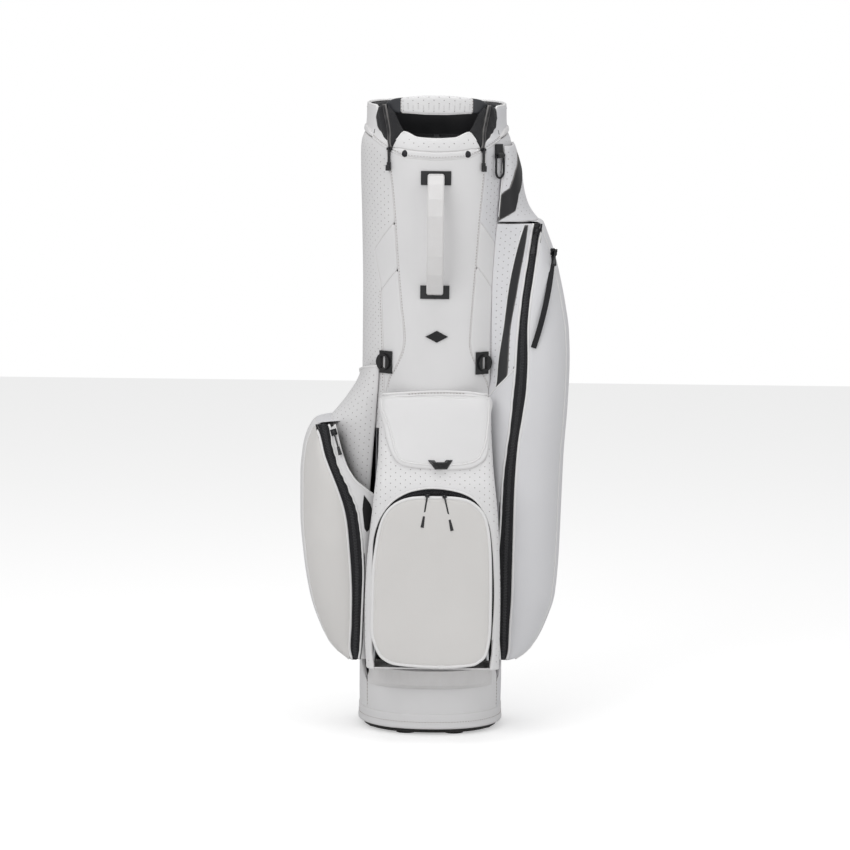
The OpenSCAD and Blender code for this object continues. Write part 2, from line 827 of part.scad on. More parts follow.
door_cols = 16;
function door_grid(s, reach, z1) =
    let (
        z0 = pocket_z0,
        rows = concat(
            [[z0, 0], [z0, 0.5], [z0 + 1, 0.9]],
            [for (v = steps(16)) [lerp(z0 + 5, z1 - 5, v), 1]],
            [[z1 - 1, 0.92], [z1, 0.5], [z1, 0.1]]
        )
    )
    [
        for (k = rows) [
            for (t = steps(door_cols))
                let (p = lerp(hug_pt(k[0], t), door_pt(s, k[0], reach(k[0]), t), k[1]))
                [p[0], p[1], k[0]]
        ]
    ];

module side_door(s, reach, z1) {
    shell(door_grid(s, reach, z1), wall);
}

module side_tape(s, z0, z1) {
    grid = [
        for (v = steps(14)) [
            for (u = [-1, 0, 1])
                let (z = lerp(z0, z1, v), p = zip_pt(s, z))
                [p[0] + u * tape_w / 2, p[1] - 1, z]
        ]
    ];
    shell(grid, tape_t);
}

// Front wall between the tube and the zip; its inner edge on the tube is given by an angle
function gusset_phi(z) = lookup(z, [
    [350, 66], [400, 58], [500, 49], [640, 49], [right_top, 53], [seam_z, 62]
]);
function gusset_out(z) = lookup(z, [[400, 1], [620, wall + gap]]);
function gusset_grid(s, top, z0 = pocket_z0, back = 0, cols = steps(6)) = [
    for (v = steps(16)) [
        for (u = cols)
            let (
                z = lerp(z0, top(u), v),
                a = oval(gusset_phi(z) + back, tube_at(z) + gusset_out(z)),
                b = zip_pt(s, z) - [tape_w / 2 + gap, -1.2],
                bow = 3 * sin(180 * u),
                p = lerp(a, b, u)
            )
            [p[0] - bow * 0.3, p[1] - bow + back * u, z]
    ]
];

module right_gusset() {
    color([0.85, 0.85, 0.87]) shell(gusset_grid(right, function (u) right_top), wall);
}

module left_gusset() {
    top = function (u) lookup(u, [[0, 350], [0.3, 366], [0.6, 390], [0.85, 420], [1, left_top]]);
    color([0.87, 0.87, 0.88]) mirror([1, 0, 0]) shell(gusset_grid(left, top), wall);
}

lining_gap = 7;
module slip_lining() {
    color([0.12, 0.12, 0.13]) mirror([1, 0, 0])
        shell(gusset_grid(left, function (u) left_top - 8, 316, wall + lining_gap), 1.5);
}

patch_t = 1.2;
module pen_slot() {
    grid = gusset_grid(left, function (u) 344, 290, 0, [for (u = steps(3)) lerp(0.66, 0.94, u)]);
    color([0.03, 0.03, 0.035]) mirror([1, 0, 0]) shell(shifted(grid, -patch_t - gap), patch_t);
}

// Rounded shoulders that close the pockets above their doors
function shoulder_grid(reach, front_phi, z0, z1) = [
    for (v = steps(12)) [
        for (t = steps(14))
            let (
                z = lerp(z0, z1(t), v),
                f = oval(front_phi(z), tube_at(z) + wall + 1),
                r = oval(rear_phi, tube_at(z) + wall + 1),
                hug = oval(lerp(front_phi(z), rear_phi, t), tube_at(z) + wall + 1),
                p = bulge(f, r, reach(z), t)
            )
            concat(p[0] < hug[0] ? hug : p, [z])
    ]
];

shoulder_gap = 3.5;
function shoulder_reach(z) = lookup(z - right_top, [
    [0, 150], [9, 141], [24, 132], [45, 126], [74, 122], [96, 116], [110, 110]
]);
module right_shoulder() {
    color([0.85, 0.85, 0.87]) shell(shoulder_grid(
        function (z) shoulder_reach(z), function (z) gusset_phi(z), right_top + shoulder_gap,
        function (t) seam_z + lerp(12, 26, t)
    ), wall);
}

module left_shroud() {
    reach = function (z) lookup(z, [
        [left_top, 150], [459, 137], [480, 122], [504, 108], [533, 104]
    ]);
    color([0.84, 0.84, 0.85]) mirror([1, 0, 0]) shell(shoulder_grid(
        reach, function (z) lookup(z, [[left_top, 50], [533, 44]]), left_top + shoulder_gap,
        function (t) left_top + lerp(81, 54, min(1, 1.6 * t))
    ), wall);
}

// Trim on the right-hand side: a stripe on the gusset and a patch above it
module side_stripe() {
    grid = gusset_grid(
        right, function (u) right_top - 2, 540, 0, [for (u = steps(3)) lerp(0.4, 0.62, u)]
    );
    color([0.07, 0.07, 0.08]) shell(shifted(grid, -patch_t - gap), patch_t);
}

module glove_patch() {
    grid = [
        for (v = steps(6)) [
            for (u = steps(5))
                let (
                    z = lerp(right_top + 16, seam_z - 2, v),
                    f = oval(gusset_phi(z), tube_at(z) + wall + 1),
                    r = oval(rear_phi, tube_at(z) + wall + 1),
                    p = bulge(f, r, shoulder_reach(z), 0.06 + 0.1 * v + 0.16 * u)
                )
                [p[0], p[1], z]
        ]
    ];
    color([0.06, 0.06, 0.065]) shell(shifted(grid, -patch_t - nest), patch_t);
}

module left_zip_tape() {
    color([0.04, 0.04, 0.045]) mirror([1, 0, 0]) side_tape(left, pocket_z0, left_top);
}

module right_zip_tape() {
    color([0.04, 0.04, 0.045]) side_tape(right, pocket_z0, right_top);
}

module left_door() {
    color([0.87, 0.87, 0.88]) mirror([1, 0, 0])
        side_door(left, function (z) left_reach(z), left_top);
}

module right_door() {
    color([0.84, 0.84, 0.87]) side_door(right, function (z) right_reach(z), right_top);
}

// ---- zip sliders and pulls ---------------------------------------------------------------
// Drawn with the teeth behind at y = 0 and the pull hanging in front, on a pin along X

slider_w = 9;
slider_t = 4.6;
slider_h = 9;
pull_pin_r = 1;
eye_r = 2.2;
eye_w = 2.6;
pin_y = slider_t + eye_r + seat + 0.1;

module slider() {
    ear_x = eye_w / 2 + seat;
    translate([-slider_w / 2, -slider_t, -slider_h / 2]) cube([slider_w, slider_t, slider_h]);
    for (x = [-ear_x - ear_t, ear_x])
        translate([x, -pin_y - 1.6, -2.5]) cube([ear_t, pin_y + 1.6 - slider_t + 0.5, 5]);
    translate([0, -pin_y, 0]) eye(pull_pin_r, 2 * ear_x + 0.4);
}

module pull(length, bulb) {
    translate([0, -pin_y, 0]) difference() {
        union() {
            eye(eye_r, eye_w);
            translate([-1.1, -0.8, -length + bulb]) cube([2.2, 1.6, length - bulb - 1.5]);
            translate([0, 0, -length]) cylinder(r1 = 2.8, r2 = 1.8, h = bulb + 2);
        }
        eye(pull_pin_r + pin_fit, eye_w + 2);
    }
}

// The ball pocket's two sliders run on the crown of the arch
arch_r = 129;
tape_mid = door_z1 + housing_grow / 2 + 0.6;
ball_slider_y = -(door_y - 2 - door_t + seat + tape_t + seat);
// Angle of each slider along the arch, and its own lean
ball_left = [-3.2, 11.6];
ball_right = [7.6, -20.6];
module ball_place(k) {
    translate([0, ball_slider_y, tape_mid - arch_r]) rotate([0, k[0], 0])
        translate([0, 0, arch_r]) rotate([0, k[1], 0]) children();
}

module ball_slider_left() {
    color([0.06, 0.06, 0.065]) ball_place(ball_left) slider();
}
module ball_slider_right() {
    color([0.06, 0.06, 0.065]) ball_place(ball_right) slider();
}
module ball_pull_left() {
    color([0.05, 0.05, 0.055]) ball_place(ball_left) pull(46, 14);
}
module ball_pull_right() {
    color([0.05, 0.05, 0.055]) ball_place(ball_right) pull(50, 14);
}

// Places a slider on a long zip at a height, turned with the arc
module zip_place(s, z) {
    p = zip_pt(s, z);
    lean = asin(max(0, z - zip_zc(s)) / zip_r(s));
    tilt = zip_tilt(s);
    translate([p[0], p[1] - 1 - seat, z]) rotate([0, 0, tilt]) rotate([0, lean, 0])
        rotate([0, 0, -tilt]) children();
}
slider_drop = 12;

module left_slider() {
    color([0.06, 0.06, 0.065]) mirror([1, 0, 0]) zip_place(left, left_top - slider_drop) slider();
}
module left_pull() {
    color([0.05, 0.05, 0.055]) mirror([1, 0, 0]) zip_place(left, left_top - slider_drop) pull(34, 10);
}
module right_slider() {
    color([0.06, 0.06, 0.065]) zip_place(right, right_top - slider_drop) slider();
}
module right_pull() {
    color([0.05, 0.05, 0.055]) zip_place(right, right_top - slider_drop) pull(34, 10);
}

// The short zip on the right door follows a circle through three points of the door's face
upper_hi = [690, 0.36];
upper_mid = [650, 0.2];
upper_lo = [560, 0.05];
function on_door(k) = let (p = door_pt(right, k[0], right_reach(k[0]), k[1])) [p[0], p[1], k[0]];
ua = on_door(upper_hi);
ub = on_door(upper_mid);
uc = on_door(upper_lo);
upper_n = cross(ub - ua, uc - ua) / norm(cross(ub - ua, uc - ua));
function circle_centre(a, b, c) =
    let (
        ab = b - a,
        ac = c - a,
        x = cross(ab, ac),
        top = cross(x, ab) * (ac * ac) + cross(ac, x) * (ab * ab)
    )
    a + top / (2 * (x * x));
upper_c = circle_centre(ua, ub, uc);
upper_r = norm(ua - upper_c);
upper_span = 2 * asin(norm(ua - uc) / (2 * upper_r));
upper_w = 8;

// Direction from the circle's centre, turned down from the zip's upper end
function upper_arm(ang) = let (e = (ua - upper_c) / upper_r) cos(ang) * e + sin(ang) * cross(upper_n, e);
upper_lift = tape_t + 4.4;

module upper_zip_tape() {
    grid = [
        for (v = steps(12)) [
            for (u = [-1, 0, 1])
                upper_c + (upper_r + upper_lift) * upper_arm(upper_span * (1 - v))
                    + u * upper_w / 2 * upper_n
        ]
    ];
    color([0.04, 0.04, 0.045]) shell(grid, tape_t);
}

upper_start = 1;
module upper_place(ang) {
    e = upper_arm(ang);
    up = -cross(upper_n, e);
    at = upper_c + (upper_r + upper_lift + seat) * e;
    multmatrix([
        [upper_n[0], -e[0], up[0], at[0]],
        [upper_n[1], -e[1], up[1], at[1]],
        [upper_n[2], -e[2], up[2], at[2]],
        [0, 0, 0, 1]
    ]) children();
}

module upper_slider() {
    color([0.06, 0.06, 0.065]) upper_place(upper_start) slider();
}
module upper_pull() {
    color([0.05, 0.05, 0.055]) upper_place(upper_start) pull(26, 8);
}

// ---- shoulder strap ----------------------------------------------------------------------

strap_hi = 800;
strap_lo = 340;
anchor_t = 3;
anchor_w = 50;
anchor_h = 34;
loop_t = 4;
slot_fit = 0.6;
strap_off = 9;
screw_r = 2;
screw_x = 11;

function back_y(z) = tube_at(z + anchor_h / 2) + tube_deeper;
function strap_y0(z) = back_y(z) + seat + anchor_t + strap_off;

// The webbing's path from the lower anchor up to the upper one, as distance behind and height
strap_straight = [
    [strap_y0(strap_lo), strap_lo], [strap_y0(strap_lo) + 21, strap_lo + 120]
];
strap_path = concat(
    strap_straight,
    [
        [164, 520], [170, 580], [173, 640], [172, 700], [163, 755],
        [strap_y0(strap_hi) + 6, 789], [strap_y0(strap_hi), strap_hi]
    ]
);

module anchor(z) {
    translate([0, back_y(z) + seat, z]) rotate([-90, 0, 0]) difference() {
        linear_extrude(anchor_t) square([anchor_w, anchor_h], center = true);
        for (x = [-1, 1]) translate([x * screw_x, 0, -1])
            cylinder(r = screw_r + rod_fit, h = anchor_t + 2);
    }
}

// A closed loop that stands off the plate and takes the end of the webbing
module anchor_loop(z) {
    y0 = back_y(z) + seat + anchor_t;
    half = web_w / 2 + slot_fit + loop_t;
    for (x = [-half, half - loop_t])
        translate([x, y0, z - loop_t / 2]) cube([loop_t, strap_off + web_t + 6, loop_t]);
    translate([-half, y0 + strap_off + web_t + 2, z - loop_t / 2]) cube([2 * half, loop_t, loop_t]);
}

module strap_anchors() {
    color([0.06, 0.06, 0.065]) for (z = [strap_lo, strap_hi]) {
        anchor(z);
        anchor_loop(z);
    }
}

module anchor_screws() {
    head_r = 3.6;
    color([0.5, 0.5, 0.52]) for (z = [strap_lo, strap_hi]) for (x = [-1, 1])
        translate([x * screw_x, back_y(z) + seat, z]) rotate([-90, 0, 0]) {
            cylinder(r = screw_r, h = anchor_t + 1);
            translate([0, 0, anchor_t]) cylinder(r = head_r, h = 2);
        }
}

module shoulder_strap() {
    color([0.07, 0.07, 0.075]) flat_bar(strap_path, web_w, web_t);
}

pad_lo = 2;
pad_hi = 6;
module strap_pad() {
    off = (web_t + pad_t) / 2 + seat;
    path = [
        for (i = [pad_lo:pad_hi])
            let (d = strap_path[i + 1] - strap_path[i - 1], n = [-d[1], d[0]] / norm(d))
            strap_path[i] + off * n
    ];
    color([0.8, 0.8, 0.81]) flat_bar(path, pad_w, pad_t);
}

module strap_adjuster() {
    frame = 4;
    d = strap_straight[1] - strap_straight[0];
    mid = lerp(strap_straight[0], strap_straight[1], 0.5);
    color([0.08, 0.08, 0.085]) translate([0, mid[0], mid[1]]) rotate([-atan2(d[0], d[1]), 0, 0])
        difference() {
            cube([web_w + 2 * (frame + slot_fit), web_t + 2 * (2 + slot_fit / 2), 22], center = true);
            cube([web_w + 2 * slot_fit, web_t + slot_fit, 30], center = true);
        }
}

// ---- choice of node ----------------------------------------------------------------------

foot_tread();
foot_tray();
hem_band();
front_panel();
left_panel();
right_panel();
back_panel();
collar_front();
collar_cover();
top_ring();
club_divider();
divider_sheets();
stay_rods();
carry_bridge();
bridge_wrap();
collar_gussets();
hood_studs();
hood_hook_left();
hood_hook_right();
grip_ports();
grab_handle();
badge_plate();
cart_guides();
towel_tab();
towel_ring();
glove_patch();
valuables_pouch();
valuables_flap();
flap_tab();
ball_gusset();
ball_zip_tape();
ball_door();
ball_slider_left();
ball_slider_right();
ball_pull_left();
ball_pull_right();
base_grip();
left_shroud();
slip_lining();
left_gusset();
left_zip_tape();
left_door();
left_slider();
left_pull();
pen_slot();
right_gusset();
right_shoulder();
side_stripe();
right_zip_tape();
right_door();
right_slider();
right_pull();
upper_zip_tape();
upper_slider();
upper_pull();
strap_anchors();
anchor_screws();
shoulder_strap();
strap_pad();
strap_adjuster();
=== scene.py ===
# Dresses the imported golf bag: leather panels, piping, stitching, zips, webbing and moulded trim.
# Lengths are in millimetres until a mesh is made. The bag's front is -Y.
import math

import bpy
import numpy as np
from mathutils import Matrix, Vector
from mathutils.geometry import delaunay_2d_cdt


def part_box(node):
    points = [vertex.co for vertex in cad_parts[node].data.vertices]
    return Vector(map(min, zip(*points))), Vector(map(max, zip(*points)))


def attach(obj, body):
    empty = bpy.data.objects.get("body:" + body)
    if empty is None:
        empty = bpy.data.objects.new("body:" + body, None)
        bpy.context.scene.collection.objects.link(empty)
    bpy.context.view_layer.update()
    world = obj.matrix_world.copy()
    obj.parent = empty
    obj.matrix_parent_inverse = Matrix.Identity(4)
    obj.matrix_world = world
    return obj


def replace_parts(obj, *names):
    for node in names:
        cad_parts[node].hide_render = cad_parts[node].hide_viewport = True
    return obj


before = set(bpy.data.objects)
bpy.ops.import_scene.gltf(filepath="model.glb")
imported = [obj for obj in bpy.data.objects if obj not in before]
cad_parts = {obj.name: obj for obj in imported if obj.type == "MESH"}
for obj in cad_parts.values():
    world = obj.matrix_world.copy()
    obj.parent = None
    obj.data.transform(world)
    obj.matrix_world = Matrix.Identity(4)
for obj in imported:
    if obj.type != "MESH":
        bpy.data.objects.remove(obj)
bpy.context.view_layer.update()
print("frame loaded")


def cornersOf(node):
    low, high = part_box(node)
    return [v * 1000 for v in low], [v * 1000 for v in high]


# ---- numbers and curves ----
def curve(*points):
    # smooth, without overshoot, through (position, value) pairs
    xs, ys = np.array(points, float).T
    slopes = np.diff(ys) / np.diff(xs)
    same = slopes[1:] * slopes[:-1] > 0
    inner = np.where(same, 2 / (1 / np.where(same, slopes[1:], 1) + 1 / np.where(same, slopes[:-1], 1)), 0)
    tangents = np.concatenate([slopes[:1], inner, slopes[-1:]])

    def at(x):
        x = np.clip(np.asarray(x, float), xs[0], xs[-1])
        i = np.clip(np.searchsorted(xs, x) - 1, 0, len(xs) - 2)
        h = xs[i + 1] - xs[i]
        t = (x - xs[i]) / h
        return (
            ys[i] * (1 + 2 * t) * (1 - t) ** 2 + tangents[i] * h * t * (1 - t) ** 2
            + ys[i + 1] * t * t * (3 - 2 * t) + tangents[i + 1] * h * t * t * (t - 1)
        )
    return at


def signedPower(v, p):
    return np.sign(v) * np.abs(v) ** p


def mix(a, b, t):
    return a + (b - a) * t


def smoothPath(points, step=3.0, closed=False):
    # points at even steps along a Catmull-Rom curve
    p = np.array(points, float)
    if closed:
        p = np.vstack([p[-1:], p, p[:2]])
    else:
        p = np.vstack([2 * p[0] - p[1], p, 2 * p[-1] - p[-2]])
    fine = []
    for a, b, c, d in zip(p, p[1:], p[2:], p[3:]):
        for t in np.linspace(0, 1, 16, endpoint=False):
            fine.append(0.5 * (2 * b + (c - a) * t + (2 * a - 5 * b + 4 * c - d) * t * t
                               + (3 * b - a - 3 * c + d) * t ** 3))
    fine.append(p[-2])
    return evenPath(fine, step)


def evenPath(points, step):
    p = np.array(points, float)
    along = np.concatenate([[0], np.cumsum(np.linalg.norm(np.diff(p, axis=0), axis=1))])
    count = max(2, int(round(along[-1] / step)) + 1)
    at = np.linspace(0, along[-1], count)
    return np.stack([np.interp(at, along, p[:, k]) for k in range(p.shape[1])], axis=1)


def edgeDistance(points, loop):
    a = loop
    b = np.roll(loop, -1, axis=0)
    best = np.full(len(points), 1e9)
    for i in range(0, len(points), 2000):
        q = points[i:i + 2000, None]
        t = np.clip(((q - a) * (b - a)).sum(2) / np.maximum(((b - a) ** 2).sum(1), 1e-9), 0, 1)
        best[i:i + 2000] = np.linalg.norm(q - a - t[..., None] * (b - a), axis=2).min(1)
    return best


def inside(points, loop):
    x, y = points[:, :1], points[:, 1:]
    a = loop
    b = np.roll(loop, -1, axis=0)
    crosses = (a[:, 1] > y) != (b[:, 1] > y)
    rise = np.where(np.abs(b[:, 1] - a[:, 1]) < 1e-9, 1e-9, b[:, 1] - a[:, 1])
    return (crosses & (x < (b[:, 0] - a[:, 0]) * (y - a[:, 1]) / rise + a[:, 0])).sum(1) % 2 == 1


# ---- shader maths ----
class Wire:
    def __init__(self, finish, socket):
        self.finish = finish
        self.socket = socket

    def maths(self, operation, *others, swap=False):
        values = [self, *others]
        if swap:
            values = values[::-1]
        return self.finish.node("ShaderNodeMath", {"operation": operation}, dict(enumerate(values)))[0]

    def __add__(self, other):
        return self.maths("ADD", other)

    def __sub__(self, other):
        return self.maths("SUBTRACT", other)

    def __rsub__(self, other):
        return self.maths("SUBTRACT", other, swap=True)

    def __mul__(self, other):
        return self.maths("MULTIPLY", other)

    def __truediv__(self, other):
        return self.maths("DIVIDE", other)

    def __gt__(self, other):
        return self.maths("GREATER_THAN", other)

    def __lt__(self, other):
        return self.maths("LESS_THAN", other)

    __radd__ = __add__
    __rmul__ = __mul__


class Nodes:
    def __init__(self, tree):
        self.tree = tree

    def node(self, kind, settings=None, sockets=None):
        made = self.tree.nodes.new(kind)
        for key, value in (settings or {}).items():
            if key == "stops":
                for stop, (place, colour) in zip(made.color_ramp.elements, value):
                    stop.position = place
                    stop.color = colour
            else:
                setattr(made, key, value)
        for key, value in (sockets or {}).items():
            if isinstance(value, Wire):
                self.tree.links.new(value.socket, made.inputs[key])
            else:
                made.inputs[key].default_value = value
        return [Wire(self, socket) for socket in made.outputs]


class Finish(Nodes):
    def __init__(self, name, roughness=0.5, metallic=0.0, specular=0.5, coat=0.0, sheen=0.0):
        self.material = bpy.data.materials.new(name)
        self.material.use_nodes = True
        super().__init__(self.material.node_tree)
        self.shader = self.tree.nodes["Principled BSDF"]
        for socket, value in (("Roughness", roughness), ("Metallic", metallic), ("Coat Weight", coat),
                              ("Specular IOR Level", specular), ("Sheen Weight", sheen)):
            self.shader.inputs[socket].default_value = value

    def feed(self, socket, value):
        if isinstance(value, Wire):
            self.tree.links.new(value.socket, self.shader.inputs[socket])
        else:
            self.shader.inputs[socket].default_value = value

    def cut(self):
        # place on the piece in millimetres, and distance from its edge
        place = self.node("ShaderNodeAttribute", {"attribute_name": "cut"})[1]
        return self.node("ShaderNodeSeparateXYZ", {}, {0: place})

    def space(self):
        return self.node("ShaderNodeTexCoord")[3]

    def noise(self, scale, detail=2.0, roughness=0.5, place=None):
        sockets = {"Vector": place or self.space(), "Scale": scale, "Detail": detail, "Roughness": roughness}
        return self.node("ShaderNodeTexNoise", {}, sockets)[0]

    def ramp(self, value, low, high):
        sockets = {"Value": value, "From Min": low, "From Max": high}
        return self.node("ShaderNodeMapRange", {"clamp": True}, sockets)[0]

    def colourMix(self, factor, a, b, blend="MIX"):
        settings = {"data_type": "RGBA", "blend_type": blend}
        return self.node("ShaderNodeMix", settings, {0: factor, 6: a, 7: b})[2]

    def bump(self, height, depth, strength=1.0):
        sockets = {"Height": height, "Distance": depth * 0.001, "Strength": strength}
        self.feed("Normal", self.node("ShaderNodeBump", {}, sockets)[0])


def rgba(colour):
    return (*colour, 1.0)


leatherLook = {
    "grain": 900.0,       # pebbles of the coated leather, per metre
    "grainDepth": 0.09,   # mm
    "holeAcross": 7.0,    # spacing of the perforation's columns
    "holeUp": 9.4,        # spacing within a column
    "holeRadius": 0.62,
    "holeMargin": 6.0,    # plain leather kept along an edge
    # seamShade: colour of the painted shade and grime along sewn edges
    "seamShade": (0.60, 0.575, 0.56),
}


def leather(name, colour, perforated=False, roughness=0.46):
    look = leatherLook
    made = Finish(name, specular=0.42)
    across, up, edge = made.cut()
    pebbles = made.node("ShaderNodeTexVoronoi", {"feature": "SMOOTH_F1"},
                        {"Vector": made.space(), "Scale": look["grain"], "Smoothness": 0.6})[0]
    broad = made.noise(9.0, 3.0)
    fine = made.noise(60.0, 2.0)
    tint = made.ramp(broad, 0.3, 0.7)
    darker = tuple(c * 0.955 for c in colour)
    base = made.colourMix(tint, rgba(darker), rgba(colour))
    # painted shade and grime: near a sewn edge the leather is mixed up to a third of the way towards seamShade, broken
    # up by noise
    awayFromSeamShadeAndGrime = made.ramp(edge + fine * 1.6, 0.5, 2.6)
    base = made.colourMix((1 - awayFromSeamShadeAndGrime) * 0.34, base, rgba(look["seamShade"]))
    height = pebbles * -look["grainDepth"] + fine * 0.12
    if perforated:
        column = across / look["holeAcross"]
        shift = made.node("ShaderNodeMath", {"operation": "FLOOR"}, {0: column + 0.5})[0] * 0.5
        nearU = (made.node("ShaderNodeMath", {"operation": "FRACT"}, {0: column + 0.5})[0] - 0.5)
        nearV = (made.node("ShaderNodeMath", {"operation": "FRACT"}, {0: up / look["holeUp"] + shift})[0] - 0.5)
        nearU = nearU * look["holeAcross"]
        nearV = nearV * look["holeUp"]
        reach = made.node("ShaderNodeMath", {"operation": "SQRT"}, {0: nearU * nearU + nearV * nearV})[0]
        hole = 1 - made.ramp(reach, look["holeRadius"] * 0.75, look["holeRadius"] * 1.35)
        hole = hole * (edge > look["holeMargin"])
        base = made.colourMix(hole * 0.75, base, rgba((0.16, 0.125, 0.12)))
        height = height - hole * 0.5
    made.feed("Base Color", base)
    made.feed("Roughness", made.ramp(fine, 0.0, 1.0) * 0.14 + (roughness - 0.07))
    made.bump(height, 1.0)
    return made.material


def woven(name, colour, pitch=0.9, sheen=0.1, light=1.9):
    made = Finish(name, roughness=0.85, specular=0.3, sheen=sheen)
    across, up, edge = made.cut()
    warp = made.node("ShaderNodeMath", {"operation": "SINE"}, {0: across * (2 * math.pi / pitch)})[0]
    weft = made.node("ShaderNodeMath", {"operation": "SINE"}, {0: up * (2 * math.pi / pitch)})[0]
    cross = warp * weft
    speck = made.noise(400.0)
    # painted highlight and shade: raised weave crossings and random specks are lightened up to 1.9 times the colour,
    # the hollows darkened to 0.6 times
    weaveHighlightAndShade = made.ramp(cross + speck, -0.6, 1.9)
    made.feed("Base Color", made.colourMix(weaveHighlightAndShade, rgba([c * 0.6 for c in colour]),
                                           rgba([c * light for c in colour])))
    made.bump(cross * 0.12 + speck * 0.1, 1.0)
    return made.material


def moulded(name, colour, roughness=0.42, grain=1400.0, depth=0.03, specular=0.5, coat=0.0):
    made = Finish(name, specular=specular, coat=coat)
    fine = made.noise(grain, 2.0)
    broad = made.noise(24.0, 3.0)
    made.feed("Base Color", made.colourMix(made.ramp(broad, 0.3, 0.7), rgba([c * 0.85 for c in colour]),
                                           rgba([c * 1.15 for c in colour])))
    made.feed("Roughness", broad * 0.16 + (roughness - 0.08))
    made.bump(fine, depth)
    return made.material


def metal(name, colour, roughness=0.3):
    made = Finish(name, metallic=1.0)
    brushed = made.noise(700.0, 2.0)
    worn = made.noise(40.0, 3.0)
    made.feed("Base Color", made.colourMix(made.ramp(worn, 0.35, 0.75), rgba(colour),
                                           rgba([min(1, c * 1.3) for c in colour])))
    made.feed("Roughness", brushed * 0.1 + worn * 0.12 + (roughness - 0.1))
    made.bump(brushed, 0.01)
    return made.material


def meshRibbon(name):
    # open diamond mesh: pale threads over a dark core
    made = Finish(name, roughness=0.7, specular=0.3)
    across, up, edge = made.cut()
    pitch = 4.4
    one = made.node("ShaderNodeMath", {"operation": "FRACT"}, {0: (across + up) / pitch})[0] - 0.5
    two = made.node("ShaderNodeMath", {"operation": "FRACT"}, {0: (across - up) / pitch})[0] - 0.5
    one = made.node("ShaderNodeMath", {"operation": "ABSOLUTE"}, {0: one})[0]
    two = made.node("ShaderNodeMath", {"operation": "ABSOLUTE"}, {0: two})[0]
    thread = made.node("ShaderNodeMath", {"operation": "MAXIMUM"}, {0: one, 1: two})[0]
    thread = made.ramp(thread, 0.27, 0.33)
    made.feed("Base Color", made.colourMix(thread, rgba((0.05, 0.042, 0.04)), rgba((0.62, 0.6, 0.59))))
    made.bump(thread, 0.5)
    return made.material


white = (0.80, 0.795, 0.80)
warm = (0.735, 0.72, 0.705)
# painted shade: a darker, cooler copy of the white for the bag's right side, which falls in shade
shadedCoolWhite = (0.745, 0.745, 0.765)
plainLeather = leather("leatherWhite", white)
dottedLeather = leather("leatherPerforated", white, perforated=True)
doorLeather = leather("leatherWarm", warm, roughness=0.5)
# painted shade: plain and perforated leather in that darker white
shadedLeather = leather("leatherShaded", shadedCoolWhite, roughness=0.5)
shadedDotted = leather("leatherShadedPerforated", shadedCoolWhite, perforated=True)
pipingLeather = leather("leatherPiping", (0.84, 0.835, 0.835), roughness=0.38)
blackLeather = leather("leatherBlack", (0.018, 0.018, 0.020), roughness=0.5)
threadFinish = woven("thread", (0.34, 0.30, 0.28), pitch=0.5)
tapeWeave = woven("zipTape", (0.016, 0.016, 0.018), pitch=0.8)
webbingWeave = woven("webbing", (0.02, 0.02, 0.022), pitch=1.4)
liningWeave = woven("lining", (0.014, 0.014, 0.016), pitch=1.0)
toothNylon = moulded("zipTeeth", (0.03, 0.03, 0.034), roughness=0.34, coat=0.1)
blackPlastic = moulded("plasticBlack", (0.02, 0.02, 0.022), roughness=0.4)
greyPlastic = moulded("plasticGraphite", (0.042, 0.044, 0.05), roughness=0.34)
glossPlastic = moulded("plasticGloss", (0.014, 0.014, 0.015), roughness=0.22, depth=0.01)
footRubber = moulded("rubberFoot", (0.028, 0.026, 0.025), roughness=0.7, grain=500.0, depth=0.08)
holeShadow = moulded("holeShadowBlack", (0.006, 0.006, 0.007), roughness=0.8)
blackMetal = metal("metalBlack", (0.035, 0.035, 0.038), roughness=0.36)
rodMetal = metal("metalRod", (0.6, 0.61, 0.63))
screwMetal = metal("metalScrew", (0.55, 0.55, 0.57), roughness=0.26)
handleMesh = meshRibbon("handleMesh")
print("finishes made")


# ---- making meshes ----
def makePiece(name, points, faces, finish, body, cut=None, smooth=True, level=0):
    mesh = bpy.data.meshes.new(name)
    mesh.from_pydata((np.asarray(points, float) * 0.001).tolist(), [], faces)
    mesh.validate()
    if cut is not None:
        mesh.attributes.new("cut", "FLOAT_VECTOR", "POINT").data.foreach_set(
            "vector", np.asarray(cut, float).ravel())
    mesh.materials.append(finish)
    if smooth:
        mesh.polygons.foreach_set("use_smooth", [True] * len(mesh.polygons))
    piece = bpy.data.objects.new(name, mesh)
    bpy.context.scene.collection.objects.link(piece)
    if level:
        piece.modifiers.new("round", "SUBSURF").levels = level
        piece.modifiers["round"].render_levels = level
    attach(piece, body)
    return piece


def normalsOn(surface, u, v):
    e = 0.5
    along = surface(u + e, v) - surface(u - e, v)
    climb = surface(u, v + e) - surface(u, v - e)
    n = np.cross(along, climb)
    return n / np.maximum(np.linalg.norm(n, axis=1), 1e-9)[:, None]


def onSurface(surface, uv, out=0.0):
    uv = np.asarray(uv, float)
    return surface(uv[:, 0], uv[:, 1]) + normalsOn(surface, uv[:, 0], uv[:, 1]) * np.reshape(out, (-1, 1))


def roundOutline(points, step=3.0):
    # straight runs between the points, at even steps, with every corner kept
    loop = []
    for a, b in zip(points, points[1:] + points[:1]):
        a, b = np.array(a, float), np.array(b, float)
        count = max(1, int(np.linalg.norm(b - a) / step))
        loop.extend(a + (b - a) * t for t in np.arange(count) / count)
    return np.array(loop)


